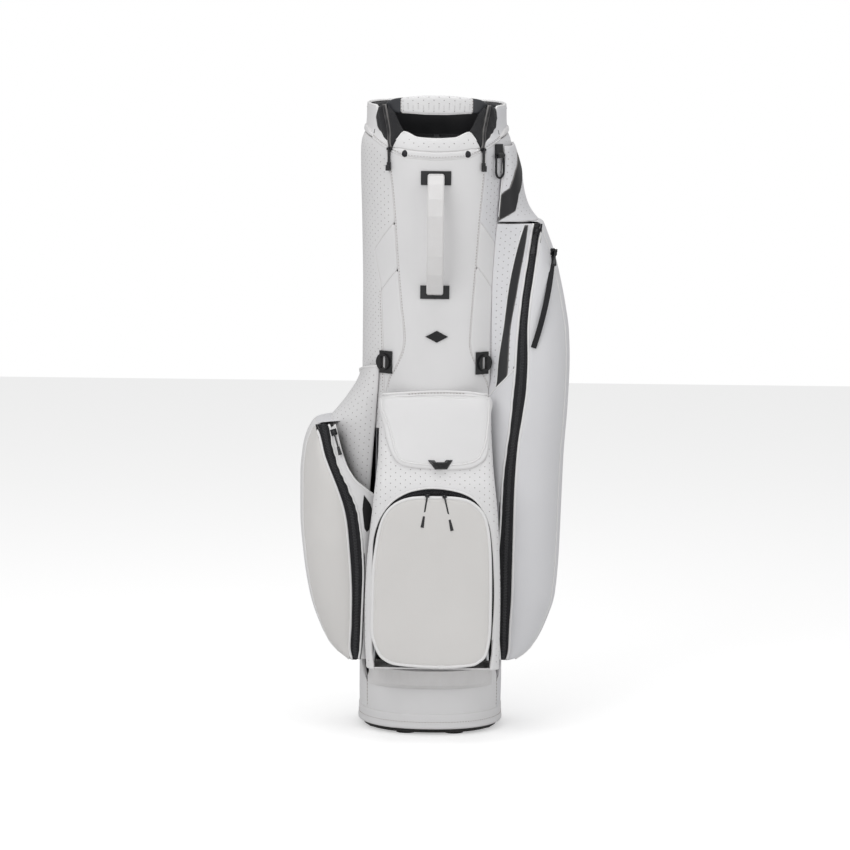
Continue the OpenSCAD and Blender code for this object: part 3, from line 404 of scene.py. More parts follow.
def patch(name, surface, outline, finish, body="bag", lift=0.0, puff=1.0, roll=3.0, grid=6.0,
          thick=2.0, swell=None, shift=(0.0, 0.0), backed=False):
    # a leather piece cut to an outline on a surface, with its sewn edge rolled down
    loop = roundOutline([tuple(p) for p in outline])
    ahead = np.roll(loop, -1, axis=0) - np.roll(loop, 1, axis=0)
    ahead /= np.maximum(np.linalg.norm(ahead, axis=1), 1e-9)[:, None]
    area = (loop[:, 0] * np.roll(loop[:, 1], -1) - np.roll(loop[:, 0], -1) * loop[:, 1]).sum()
    inwards = np.stack([-ahead[:, 1], ahead[:, 0]], axis=1) * np.sign(area)
    fill = []
    for d in (roll * 0.18, roll * 0.45, roll * 0.85, roll * 1.35):
        ring = loop + inwards * d
        keep = inside(ring, loop) & (edgeDistance(ring, loop) > 0.93 * d)
        fill.append(ring[keep])
    low, high = loop.min(0), loop.max(0)
    u, v = np.meshgrid(np.arange(low[0], high[0], grid), np.arange(low[1], high[1], grid * 0.87))
    u = u + (np.arange(len(v)) % 2)[:, None] * grid / 2
    field = np.stack([u.ravel(), v.ravel()], axis=1)
    field = field[inside(field, loop)]
    fill.append(field[edgeDistance(field, loop) > roll * 1.35 + grid * 0.4])
    places = np.vstack([loop] + fill)
    edges = [(i, (i + 1) % len(loop)) for i in range(len(loop))]
    flat, ignored, faces = delaunay_2d_cdt([Vector(p) for p in places.tolist()], edges, [], 1, 1e-4)[:3]
    flat = np.array([tuple(p) for p in flat])
    d = edgeDistance(flat, loop)
    rise = lift + puff * np.sqrt(np.clip(1 - (1 - np.clip(d / roll, 0, 1)) ** 2, 0, 1))
    if swell is not None:
        rise = rise + swell(flat[:, 0], flat[:, 1], d)
    top = onSurface(surface, flat, rise)
    count = len(flat)
    rim = np.arange(count) if backed else np.nonzero(d < 1e-3)[0]
    lower = onSurface(surface, flat[rim], lift - thick)
    below = {int(k): count + i for i, k in enumerate(rim)}
    uses = {}
    for face in faces:
        for a, b in zip(face, list(face[1:]) + [face[0]]):
            uses[(a, b)] = uses.get((a, b), 0) + 1
    skirt = [(b, a, below[a], below[b]) for a, b in uses if (b, a) not in uses and a in below and b in below]
    if backed:
        skirt += [[count + k for k in face[::-1]] for face in faces]
    points = np.vstack([top, lower])
    cut = np.column_stack([np.concatenate([flat[:, 0], flat[rim, 0]]) + shift[0],
                           np.concatenate([flat[:, 1], flat[rim, 1]]) + shift[1],
                           np.concatenate([d, d[rim]])])
    return makePiece(name, points, [list(f) for f in faces] + skirt, finish, body, cut)


def rowSurface(rowAt, low, high, origin=None, step=4.0):
    # a surface from level rows; the first coordinate is arc length along the row, from x = origin or its start
    levels = np.arange(low, high + step, step)
    rows = np.array([rowAt(z) for z in levels], float)
    lengths = np.concatenate([np.zeros((len(rows), 1)),
                              np.cumsum(np.linalg.norm(np.diff(rows, axis=1), axis=2), axis=1)], axis=1)
    if origin is not None:
        for k, row in enumerate(rows):
            middle = len(row) // 2
            near = np.argmin(np.abs(row[middle // 2:middle * 3 // 2, 0] - origin)) + middle // 2
            lengths[k] -= lengths[k][near]

    def at(u, v):
        u, v = np.broadcast_arrays(np.asarray(u, float), np.asarray(v, float))
        place = np.clip((v - levels[0]) / step, 0, len(levels) - 1.001)
        base = place.astype(int)
        total = 0
        for k, weight in ((base, 1 - (place - base)), (base + 1, place - base)):
            along = lengths[k]
            i = np.clip((along <= u[:, None]).sum(1) - 1, 0, along.shape[1] - 2)
            spot = np.arange(len(u))
            t = (u - along[spot, i]) / (along[spot, i + 1] - along[spot, i])
            a, b = rows[k, i], rows[k, i + 1]
            total = total + (a + (b - a) * t[:, None]) * weight[:, None]
        return np.column_stack([total, v])

    def reach(x, v, part=None):
        # arc length at which the row at v has this x; part picks the nearer or further half
        place = int(np.clip(round((v - levels[0]) / step), 0, len(levels) - 1))
        xs, along = rows[place, :, 0], lengths[place]
        if part == "back":
            xs, along = xs[len(xs) // 2:][::-1], along[len(along) // 2:][::-1]
        elif part == "front":
            xs, along = xs[:len(xs) // 2], along[:len(along) // 2]
        return float(np.interp(x, xs, along))

    at.reach = reach
    at.ends = lambda v: (float(lengths[int(np.clip(round((v - levels[0]) / step), 0, len(levels) - 1)), 0]),
                         float(lengths[int(np.clip(round((v - levels[0]) / step), 0, len(levels) - 1)), -1]))
    return at


def mirroredSurface(surface):
    def at(u, v):
        p = surface(-np.asarray(u, float), v)
        return p * np.array([-1.0, 1.0, 1.0])
    return at


def framesAlong(path):
    # tangent, and a side and upright direction that turn as little as they can
    p = np.asarray(path, float)
    t = np.gradient(p, axis=0)
    t /= np.maximum(np.linalg.norm(t, axis=1), 1e-9)[:, None]
    side = np.cross(t[0], (0, 0, 1) if abs(t[0][2]) < 0.9 else (0, 1, 0))
    sides = []
    for k in t:
        side = side - k * side.dot(k)
        side = side / np.linalg.norm(side)
        sides.append(side)
    sides = np.array(sides)
    return t, sides, np.cross(t, sides)


def cordPiece(name, path, radius, finish, body="bag", sides=10, closed=False, twist=0.0):
    # a round cord or piping; radius may be one number or one for each point
    p = np.asarray(path, float)
    t, side, up = framesAlong(p)
    r = np.broadcast_to(np.asarray(radius, float), (len(p),))
    angle = np.linspace(0, 2 * math.pi, sides, endpoint=False)
    turn = angle[None, :] + twist * np.arange(len(p))[:, None]
    wave = r[:, None] * (1 + (0.14 * np.cos(2 * turn) if twist else 0))
    ring = (np.cos(angle) * wave)[..., None] * side[:, None] + (np.sin(angle) * wave)[..., None] * up[:, None]
    points = (p[:, None] + ring).reshape(-1, 3)
    rows = len(p)
    faces = [(i * sides + j, i * sides + (j + 1) % sides, (i + 1) % rows * sides + (j + 1) % sides,
              (i + 1) % rows * sides + j) for i in range(rows if closed else rows - 1) for j in range(sides)]
    if not closed:
        faces += [list(range(sides))[::-1], list(range((rows - 1) * sides, rows * sides))]
    along = np.concatenate([[0], np.cumsum(np.linalg.norm(np.diff(p, axis=0), axis=1))])
    cut = np.column_stack([np.tile(angle * r.mean(), rows), np.repeat(along, sides), np.full(rows * sides, 9.0)])
    return makePiece(name, points, faces, finish, body, cut)


def loftPiece(name, rings, finish, body="bag", closedEnds=True, level=0, cut=None):
    rings = np.asarray(rings, float)
    rows, cols = rings.shape[:2]
    faces = [(i * cols + j, i * cols + (j + 1) % cols, (i + 1) * cols + (j + 1) % cols, (i + 1) * cols + j)
             for i in range(rows - 1) for j in range(cols)]
    if closedEnds:
        faces += [list(range(cols))[::-1], list(range((rows - 1) * cols, rows * cols))]
    if cut is None:
        around = np.concatenate([[0], np.cumsum(np.linalg.norm(np.diff(rings[rows // 2], axis=0), axis=1))])
        middle = rings.mean(1)
        along = np.concatenate([[0], np.cumsum(np.linalg.norm(np.diff(middle, axis=0), axis=1))])
        cut = np.column_stack([np.tile(around, rows), np.repeat(along, cols), np.full(rows * cols, 9.0)])
    return makePiece(name, rings.reshape(-1, 3), faces, finish, body, cut, level=level)


stitchLook = {"pitch": 4.3, "length": 2.7, "radius": 0.42, "sink": 0.12}


def stitches(name, path, normals, body="bag", look=stitchLook):
    # a run of separate stitches lying along a path
    p = np.asarray(path, float)
    along = np.concatenate([[0], np.cumsum(np.linalg.norm(np.diff(p, axis=0), axis=1))])
    count = int(along[-1] / look["pitch"])
    points, faces = [], []
    for k in range(count):
        middle = (k + 0.5) * along[-1] / count
        for part, (offset, size) in enumerate(((-0.5, 0.3), (-0.28, 1.0), (0.28, 1.0), (0.5, 0.3))):
            at = middle + offset * look["length"]
            centre = np.array([np.interp(at, along, p[:, i]) for i in range(3)])
            normal = np.array([np.interp(at, along, normals[:, i]) for i in range(3)])
            ahead = np.array([np.interp(at + 0.5, along, p[:, i]) - np.interp(at - 0.5, along, p[:, i])
                              for i in range(3)])
            side = np.cross(ahead, normal)
            side /= max(np.linalg.norm(side), 1e-9)
            dip = look["sink"] if size == 1.0 else look["sink"] + look["radius"]
            for a in range(6):
                spread = look["radius"] * size
                points.append(centre - normal * dip + side * spread * math.cos(a * math.pi / 3)
                              + normal * spread * math.sin(a * math.pi / 3))
        first = k * 24
        for part in range(3):
            for a in range(6):
                i, j = first + part * 6 + a, first + part * 6 + (a + 1) % 6
                faces.append((i, j, j + 6, i + 6))
    cut = np.column_stack([np.asarray(points), ])
    return makePiece(name, points, faces, threadFinish, body, cut)


def seamStitches(name, surface, uv, out=0.35, body="bag", step=3.0):
    uv = smoothPath(uv, step)
    return stitches(name, onSurface(surface, uv, out), normalsOn(surface, uv[:, 0], uv[:, 1]), body)


def seamPiping(name, surface, uv, radius=1.4, out=0.5, body="bag", finish=None, closed=False):
    path = onSurface(surface, smoothPath(uv, 3.0, closed), out)
    return cordPiece(name, path, radius, finish or pipingLeather, body, closed=closed)


def latheRings(profile, sides=28):
    angle = np.linspace(0, 2 * math.pi, sides, endpoint=False)
    return [[(r * math.cos(a), r * math.sin(a), h) for a in angle] for r, h in profile]


def placed(rings, matrix):
    m = np.array(matrix)
    rings = np.asarray(rings, float)
    return rings @ m[:3, :3].T + m[:3, 3]


def placeAt(centre, right, outwards):
    # a frame whose X is right, whose -Y points outwards and whose Z is up
    x = Vector(right).normalized()
    y = -Vector(outwards)
    z = x.cross(y).normalized()
    y = z.cross(x)
    m = Matrix((x, y, z)).transposed().to_4x4()
    m.translation = Vector(centre)
    return m


def roundedBox(size, radius, steps=4):
    # rings of a box with rounded edges, along Z
    w, d, h = (s / 2 for s in size)
    rings = []
    for k in range(steps + 1):
        a = math.pi / 2 * k / steps
        rings.append((radius * (1 - math.sin(a)), -h + radius * (1 - math.cos(a))))
    rings = [(inset, z) for inset, z in rings] + [(inset, -z) for inset, z in rings[::-1]]
    made = []
    for inset, z in rings:
        ring = []
        for q, (sx, sy) in enumerate(((1, 1), (-1, 1), (-1, -1), (1, -1))):
            for k in range(steps + 1):
                a = math.pi / 2 * (q + k / steps)
                ring.append((sx * (w - radius) + (radius - inset) * math.cos(a),
                             sy * (d - radius) + (radius - inset) * math.sin(a), z))
        made.append(ring)
    return made


def joinPieces(name, pieces):
    # one object from several that ride on the same body
    bpy.ops.object.select_all(action="DESELECT")
    for piece in pieces:
        piece.select_set(True)
    bpy.context.view_layer.objects.active = pieces[0]
    bpy.ops.object.join()
    pieces[0].name = name
    return pieces[0]


# ---- the tube's surface ----
tubeLook = {"squareness": 2.3, "deeper": 11.0, "flare": 5.5, "seamFront": 828.0, "seamRise": 34.0}
squareness = tubeLook["squareness"]
tubeHalf = -cornersOf("left_panel")[0][0] - tubeLook["flare"]
rimTop = cornersOf("top_ring")[1][2]
hemLow, hemHigh = cornersOf("hem_band")[0][2], cornersOf("hem_band")[1][2]
tubeSwell = curve((0, -1.2), (31, -0.6), (60, 0), (620, 0.5), (740, 3.0), (800, 5.0), (836, 5.5), (850, 4.2),
                  (866, -1.6), (880, -3.2), (905, -3.6))


def tubeAt(z):
    return tubeHalf + tubeSwell(z)


def oval(phi, half):
    a = np.radians(phi)
    return (half * signedPower(np.sin(a), 2 / squareness),
            -(half + tubeLook["deeper"]) * signedPower(np.cos(a), 2 / squareness))


phiSteps = np.degrees(np.arcsin(np.linspace(0, 1, 2001) ** (squareness / 2)))
phiSteps = np.unique(np.concatenate([phiSteps, 180 - phiSteps, np.linspace(0, 180, 3601)]))
arcSteps = np.concatenate([[0], np.cumsum(np.hypot(*np.diff(oval(phiSteps, tubeHalf + 2), axis=1)))])
halfRound = arcSteps[-1]


def phiOf(s):
    return np.sign(s) * np.interp(np.abs(s), arcSteps, phiSteps)


def arcOf(phi):
    return np.sign(phi) * np.interp(np.abs(phi), phiSteps, arcSteps)


def tube(s, z):
    x, y = oval(phiOf(s), tubeAt(z))
    return np.stack([x, y, z + 0 * x], axis=1)


def across(x, z):
    # arc length at which the tube's front reaches x
    ratio = np.clip(np.abs(x) / tubeAt(z), 0, 1)
    return float(np.sign(x) * np.interp(np.degrees(np.arcsin(ratio ** (squareness / 2))), phiSteps, arcSteps))


def onTube(points):
    return [(across(x, z), z) for x, z in points]


def seamHeight(phi):
    return tubeLook["seamFront"] + curve((0, 0), (20, 3), (34, 12), (60, 28), (90, 34), (180, 34))(np.abs(phi))


print("surfaces ready")

# ---- tube panels ----
frontSeams = {
    "left": [(-70, 840), (-66, 815), (-62, 785), (-57.5, 734), (-54, 685), (-48, 620), (-43.6, 583),
             (-44.6, 557), (-55, 530), (-64, 513), (-68, 488), (-69, 470)],
    "right": [(70, 842), (69, 810), (64, 752), (59.5, 687), (55, 625), (52.3, 583), (52.6, 558),
              (61.5, 534), (72.5, 517), (78, 500), (79, 470)],
}
facets = {
    "left": {"start": (-60.5, 735), "elbow": (-86, 696), "knee": (-76, 639), "second": (-55.5, 668),
             "low": (-72, 553), "foot": (-70, 490)},
    "right": {"start": (62.5, 740), "elbow": (88.5, 700), "knee": (82.5, 641), "second": (60.5, 674),
              "low": (79.5, 574), "foot": (79, 497)},
}


def between(points, low, high):
    return [p for p in points if low < p[1] < high]


def alongSeam(phiFrom, phiTo, below=0.0, count=14):
    phis = np.linspace(phiFrom, phiTo, count)
    return [(float(arcOf(p)), float(seamHeight(p)) - below) for p in phis]


def finePath(points, step=6.0):
    return [tuple(p) for p in smoothPath(points, step)]


leftSeam = finePath(onTube(frontSeams["left"]))
rightSeam = finePath(onTube(frontSeams["right"]))
top = alongSeam(-33, 34, 0.3)
patch("frontPanel", tube, [p for p in leftSeam[::-1] if p[1] < 838] + top
      + [p for p in rightSeam if p[1] < 838], plainLeather, puff=0.8, roll=2.6, grid=7, thick=3)
for side, seam in (("left", leftSeam), ("right", rightSeam)):
    name = side + "FrontStitches"
    sign = -1 if side == "left" else 1
    inner = [(s - sign * 2.4, z) for s, z in seam if 495 < z < 834]
    seamStitches(name, tube, inner, 1.05)

sideSpan = {"edge": 104.0, "low": 440.0, "spine": 148.0}
for side in ("left", "right"):
    sign = -1 if side == "left" else 1
    look = facets[side]
    seam = leftSeam if side == "left" else rightSeam
    start, elbow, knee, second, low, foot = onTube([look[k] for k in
                                                    ("start", "elbow", "knee", "second", "low", "foot")])
    upperEdge = [p for p in seam if p[1] > start[1] + 1]
    lowerEdge = [p for p in seam if second[1] > p[1] > foot[1]]
    middleEdge = [p for p in seam if start[1] > p[1] > second[1]]
    back = sign * float(arcOf(sideSpan["edge"]))
    collar = alongSeam(sign * 35, sign * sideSpan["edge"], 0.3)
    outline = [start, elbow, (knee[0] + sign * 1.5, knee[1] + 14), knee, low, foot, (foot[0], sideSpan["low"]),
               (back, sideSpan["low"])] + collar[::-1] + upperEdge

    def ridges(u, v, d, sign=sign):
        # pressed diagonal ribs below the collar
        lean = (v - 760) - 2.1 * (sign * u - 96)
        fade = np.exp(-((v - 768) / 34) ** 2) * np.exp(-((sign * u - 101) / 17) ** 2)
        return 0.9 * fade * np.clip(np.cos(lean * 2 * math.pi / 26), -0.6, 1)

    # painted shade: the right side's pieces take the darker copy of the leather
    patch(side + "SidePanel", tube, outline, dottedLeather if side == "left" else shadedDotted, puff=0.7,
          roll=2.2, grid=5, thick=3, swell=ridges)
    patch(side + "UpperFacet", tube, [start, elbow, (knee[0] + sign * 1.5, knee[1] + 14), knee, second]
          + middleEdge[::-1], plainLeather, puff=0.8, roll=2.4, thick=3)
    patch(side + "LowerFacet", tube, [second, knee, low, foot, (foot[0], 470), seam[-1]]
          + lowerEdge[::-1], plainLeather, puff=0.8, roll=2.4, thick=3)
    out = [(p[0] + sign * 2.6, p[1]) for p in (knee, low, foot)]
    seamStitches(side + "FacetStitches", tube, out, 1.0)
    rear = alongSeam(sign * sideSpan["edge"], sign * sideSpan["spine"], 0.3)
    patch(side + "RearPanel", tube, [(back, 12), (sign * float(arcOf(sideSpan["spine"])), 12)] + rear[::-1],
          plainLeather if side == "left" else shadedLeather, puff=0.8, roll=2.6, grid=9, thick=3)
    seamStitches(side + "RearStitches", tube, [(rear[-1][0] - sign * 3, 34), (rear[-1][0] - sign * 3, 850)], 1.1)
    seamStitches(side + "SideStitches", tube, [(back + sign * 3, 34), (back + sign * 3, 850)], 1.1)


def backTube(s, z):
    # arc length measured from the middle of the back
    x, y = oval(phiOf(halfRound - np.abs(s)), tubeAt(z))
    return np.stack([-np.sign(s) * x, y, z + 0 * x], axis=1)


spineHalf = halfRound - float(arcOf(sideSpan["spine"]))
patch("spinePanel", backTube, [(-spineHalf, 12), (spineHalf, 12), (spineHalf, 861.5), (-spineHalf, 861.5)],
      plainLeather, puff=0.8, roll=2.6, grid=9, thick=3)
patch("spinePad", backTube, [(-34, 372), (34, 372), (40, 420), (40, 700), (30, 748), (-30, 748), (-40, 700),
                                (-40, 420)], dottedLeather, puff=3.0, roll=9, lift=0.8, grid=6, thick=1)
seamPiping("spinePadPiping", backTube, [(-34, 372), (34, 372), (40, 420), (40, 700), (30, 748), (-30, 748),
                                           (-40, 700), (-40, 420)], 1.2, 1.2, closed=True)

# ---- base ----
baseLook = {"panelLeft": -91.0, "panelRight": 96.0, "top": 76.0}
hem = tubeAt(12.0)


def around(z0, z1, phiFrom, phiTo, count=30):
    phis = np.linspace(phiFrom, phiTo, count)
    arcs = [float(arcOf(p)) for p in phis]
    return [(s, z0) for s in arcs] + [(s, z1) for s in arcs[::-1]]


leftEnd, rightEnd = across(baseLook["panelLeft"], 60), across(baseLook["panelRight"], 60)
patch("baseFrontPanel", tube, [(leftEnd, 12), (rightEnd, 12), (rightEnd - 2, 78), (rightEnd - 12, 96),
                               (leftEnd + 12, 96), (leftEnd + 2, 78)],
      plainLeather, puff=1.0, roll=2.6, grid=7, thick=3)
for side, end in (("left", leftEnd), ("right", rightEnd)):
    sign = -1 if side == "left" else 1
    back = sign * float(arcOf(sideSpan["edge"]))
    corner = end + sign * 9
    # painted shade: the right base side takes the darker copy of the leather
    patch(side + "BaseSide", tube, [(end, 12), (back, 12), (back, 442), (end + sign * 34, 442), (corner + sign * 22, 108),
                                    (end, 68)],
          plainLeather if side == "left" else shadedLeather, puff=1.0, roll=2.6, grid=8, thick=3)
    seamPiping(side + "BaseSeam", tube, [(end, 70), (corner + sign * 6, 84), (corner + sign * 24, 112)], 1.0, 0.8)
    seamStitches(side + "BaseStitches", tube, [(end - sign * 3, 34), (end - sign * 3, 72)], 1.3)


def hemRing(z, out, sink=0.0, count=120):
    x, y = oval(np.linspace(0, 360, count, endpoint=False), tubeAt(z) + out)
    return np.stack([x, y, np.full(count, z + sink)], axis=1)


def ringProfile(name, profile, finish, body="bag", count=144, wave=None):
    # a closed band round the tube; the profile is (outwards, height) pairs
    rings = []
    for out, z in profile:
        ring = hemRing(z, out, 0, count)
        if wave is not None:
            ring[:, 2] += wave(np.linspace(0, 360, count, endpoint=False), z)
        rings.append(ring)
    rings = np.array(rings)
    rows = len(rings)
    around = np.concatenate([[0], np.cumsum(np.linalg.norm(np.diff(rings[0], axis=0), axis=1))])
    heights = np.array([z for out, z in profile])
    middle = heights.mean()
    cut = np.column_stack([np.tile(around, rows), np.repeat(heights, count),
                           np.repeat(np.minimum(heights - heights.min(), heights.max() - heights), count)])
    return loftPiece(name, rings, finish, body, closedEnds=False, cut=cut)


ringProfile("hemBand", [(0.2, hemHigh + 0.8), (1.4, hemHigh + 0.4), (2.0, hemHigh - 1.2), (2.2, hemHigh - 5),
                        (2.2, hemLow + 7), (2.6, hemLow + 4.6), (3.4, hemLow + 2.8), (3.2, hemLow + 0.6),
                        (1.8, hemLow - 0.2), (-1.0, hemLow)], plainLeather)
phis = np.linspace(0, 360, 240)
x, y = oval(phis, tubeAt(19.0) + 2.35)
hemPath = np.stack([x, y, np.full(len(x), 19.0)], axis=1)
hemNormal = np.stack([x, y, 0 * x], axis=1)
hemNormal /= np.linalg.norm(hemNormal, axis=1)[:, None]
stitches("hemStitches", evenPath(hemPath, 3), np.array([hemNormal[int(k)] for k in
         np.linspace(0, len(x) - 1, len(evenPath(hemPath, 3)))]))
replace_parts(bpy.data.objects["hemBand"], "hem_band")
for node, piece in (("front_panel", "frontPanel"), ("left_panel", "leftSidePanel"),
                    ("right_panel", "rightSidePanel"), ("back_panel", "spinePanel")):
    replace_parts(bpy.data.objects[piece], node)
print("tube done")


# ---- collar, hood and rim ----
collarLook = {"notch": 34.0, "lip": 857.0, "bandTop": 838.5, "wallTop": rimTop - 1.0}
hoodTop = curve((0, 856.5), (12, 858), (20, 863.5), (24, 865.5), (30, 853), (34, 845))
notchEdge = [(-64, 844.5), (-69, 848), (-76.5, 855), (-82, 862), (-87, 871), (-89, 884), (-88, 897)]
hoodCorner = [(-62.5, 845), (-57, 851), (-52.5, 858.5), (-48.5, 865)]


def bandEdge(phi, lift):
    return (float(arcOf(phi)), float(seamHeight(phi)) + lift)


hoodPhis = np.linspace(-32.5, 32.5, 22)
bandLow = [bandEdge(p, 0.8) for p in hoodPhis]
bandHigh = [bandEdge(p, 10.5 if abs(p) < 24 else 10.5 - (abs(p) - 24) * 0.75) for p in hoodPhis]
lip = [(float(arcOf(p)), float(hoodTop(abs(p)))) for p in np.linspace(-29.5, 29.5, 26)]
patch("hoodBand", tube, bandLow + bandHigh[::-1], plainLeather, puff=1.8, roll=3.2, grid=4, thick=3, lift=0.4)
patch("hoodPanel", tube, bandHigh + lip[::-1], dottedLeather, puff=1.2, roll=2.4, grid=4, thick=4,
      shift=(3.5, 0), lift=0.1)
seamPiping("hoodLip", tube, lip, 2.0, -0.6)
seamStitches("hoodStitches", tube, [bandEdge(p, 3.4) for p in np.linspace(-30, 30, 16)], 2.1)
seamPiping("hoodSeam", tube, [bandEdge(p, 0.2) for p in np.linspace(-33, 33, 16)], 0.9, 0.5)
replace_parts(bpy.data.objects["hoodPanel"], "collar_front")

collarPhis = np.concatenate([np.linspace(34.6, 62, 14), np.linspace(66, 180, 26)])
collarTopLine = curve((34, 844.5), (38, 851), (44, 858), (50, 868), (54.5, 884), (56, 897), (60, rimTop - 1.2),
                      (66, rimTop - 0.6), (180, rimTop + 0.6))


def collarHalf(sign):
    low = [(sign * float(arcOf(p)), float(seamHeight(p)) + 0.8) for p in collarPhis]
    high = [(sign * float(arcOf(p)), float(collarTopLine(p))) for p in collarPhis]
    return low + high[::-1]


for side, sign in (("left", -1), ("right", 1)):
    # painted shade: the right collar takes the darker copy of the leather
    patch(side + "Collar", tube, collarHalf(sign), plainLeather if side == "left" else shadedLeather, puff=1.3,
          roll=3.0, grid=5, thick=4, lift=0.2)
    fold = [(sign * float(arcOf(p)), float(seamHeight(p)) + 0.8) for p in np.linspace(56, 179, 30)]
    foldTop = [(s, z + min(9, 2 + abs(abs(s) - abs(fold[0][0])) * 0.35)) for s, z in fold]
    patch(side + "CollarFold", tube, fold + foldTop[::-1], plainLeather, puff=2.4, roll=3.4, grid=4, thick=2,
          lift=1.2)
    edge = [(sign * float(arcOf(p)), float(collarTopLine(p))) for p in np.linspace(35, 179, 46)]
    seamPiping(side + "CollarLip", tube, edge, 1.9, -0.5)
    lowSeam = [(sign * float(arcOf(p)), float(seamHeight(p)) + 0.4) for p in np.linspace(35, 58, 12)]
    seamPiping(side + "CollarSeam", tube, lowSeam, 0.9, 0.6)
    seamStitches(side + "CollarStitches", tube, [(s, z + 3.2) for s, z in lowSeam], 1.7)
    seamStitches(side + "RimStitches", tube, [(s, z - 5.5) for s, z in edge[16:]], 1.7)
    # painted shadow: a near-black sheet stands for the shaded opening of the collar's slot
    slot = sign * float(arcOf(57.5))
    patch(side + "CollarSlot", tube, [(slot - 0.9, 861), (slot + 0.9, 861), (slot + 0.9, 867.5),
                                      (slot - 0.9, 867.5)], holeShadow, puff=0.1, roll=0.5, grid=2, lift=1.5)
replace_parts(bpy.data.objects["leftCollar"], "collar_cover")

ringLow = cornersOf("top_ring")[0][2]
ringLook = {"wall": 5.0, "inset": -4.6}
ringSeat = curve((0, 852), (20, 854), (30, 862), (37, rimTop - 24), (60, rimTop - 24), (67, rimTop - 4),
                 (180, rimTop))
columns = 144
ringPhis = np.linspace(0, 360, columns, endpoint=False)
folded = np.minimum(ringPhis, 360 - ringPhis)
ringRings = []
for inset, part in ((0, 0.0), (0, 0.3), (0, 0.6), (0, 0.8), (0, 0.93), (0.4, 0.985), (1.3, 1.0), (3.7, 1.0),
                    (4.6, 0.985), (5, 0.93), (5, 0.6), (5, 0.3), (5, 0.0)):
    heights = mix(ringLow, ringSeat(folded), part)
    x, y = oval(ringPhis, tubeAt(np.minimum(heights, 905)) + ringLook["inset"] - inset)
    ringRings.append(np.stack([x, y, heights], axis=1))
ringPiece = loftPiece("rimMoulding", ringRings, blackPlastic, closedEnds=False)
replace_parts(ringPiece, "top_ring")

# ---- carry bridge ----
bridgeLook = {"height": 21.0, "depth": 9.0, "wrap": 2.6, "wrapEnd": 0.47, "bow": -1.0}
bridgeHalf = tubeAt(rimTop) - 3 - 0.8 - bridgeLook["depth"] / 2
bridgeFoot = ringSeat(50) + 0.6
bridgeTop = cornersOf("carry_bridge")[1][2] - bridgeLook["height"] / 2
bridgeShape = [(52.8, bridgeFoot), (52.6, bridgeFoot + 5), (51.0, bridgeFoot + 13), (46.5, bridgeTop - 8),
               (39, bridgeTop - 3.2), (31, bridgeTop - 1.4), (20, bridgeTop - 0.4), (8, bridgeTop)]
bridgePoints = []
for sign, shape in ((-1, bridgeShape), (1, bridgeShape[::-1])):
    for phi, z in shape:
        x, y = oval(phi, bridgeHalf + bridgeLook["bow"])
        bridgePoints.append((sign * float(x), float(y), z))
bridgePath = smoothPath(bridgePoints, 3)


def bridgeRings(path, grow, count=28):
    rings = []
    last = len(path) - 1
    for i, centre in enumerate(path):
        ahead = path[min(i + 1, last)] - path[max(i - 1, 0)]
        ahead = ahead / np.linalg.norm(ahead)
        outer = np.array([centre[0] * 0.9, centre[1], 0.0])
        outer = outer - ahead * outer.dot(ahead)
        outer /= np.linalg.norm(outer)
        up = np.cross(ahead, -outer)
        ends = min(i, last - i) * 3.0
        high = bridgeLook["height"] / 2 * min(1, 0.74 + ends * 0.006) + grow
        deep = bridgeLook["depth"] / 2 + grow
        ring = []
        for k in range(count):
            a = 2 * math.pi * k / count
            ring.append(centre + outer * deep * signedPower(math.cos(a), 0.5)
                        + up * high * signedPower(math.sin(a), 0.42))
        rings.append(ring)
    return np.array(rings)


bridge = loftPiece("carryBridge", bridgeRings(bridgePath, 0.2), greyPlastic)
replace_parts(bridge, "carry_bridge")
wrapEdge = 51.0
wrapPath = np.array([p for p in bridgePath if abs(p[0]) < wrapEdge])
wrapPath = evenPath(np.vstack([[(-wrapEdge, *wrapPath[0][1:])], wrapPath, [(wrapEdge, *wrapPath[-1][1:])]]), 2.4)
wrapRings = bridgeRings(wrapPath, bridgeLook["wrap"])
edgeFall = np.minimum(np.arange(len(wrapPath)), np.arange(len(wrapPath))[::-1])
for i, k in enumerate(edgeFall):
    shrink = 1.4 if k == 0 else 0.35 if k == 1 else 0
    wrapRings[i] -= (wrapRings[i] - wrapPath[i]) / np.linalg.norm(wrapRings[i] - wrapPath[i], axis=1)[:, None] * shrink
count = wrapRings.shape[1]
wrapAcross = np.linalg.norm(np.diff(wrapRings[len(wrapRings) // 2], axis=0), axis=1)
wrapAround = np.concatenate([[0], np.cumsum(wrapAcross)])
wrapAlong = np.concatenate([[0], np.cumsum(np.linalg.norm(np.diff(wrapPath, axis=0), axis=1))])
fromEnd = np.minimum(wrapAlong, wrapAlong[-1] - wrapAlong)
wrapCut = np.column_stack([np.repeat(wrapAlong, count), np.tile(wrapAround, len(wrapRings)) + 2.5,
                           np.repeat(fromEnd + 1.5, count)])
wrapPiece = loftPiece("bridgeWrap", wrapRings, dottedLeather, cut=wrapCut)
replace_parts(wrapPiece, "bridge_wrap")
for name, index in (("wrapStitchesLeft", 1), ("wrapStitchesRight", -2)):
    ring = bridgeRings(wrapPath, bridgeLook["wrap"] + 0.2, 60)[index]
    ring = np.vstack([ring, ring[:1]])
    normal = ring - wrapPath[index]
    stitches(name, ring, normal / np.linalg.norm(normal, axis=1)[:, None])
underSeam = bridgeRings(wrapPath[1:-1], bridgeLook["wrap"] + 0.1, 28)[:, 22]
cordPiece("wrapSeam", underSeam, 0.8, pipingLeather)

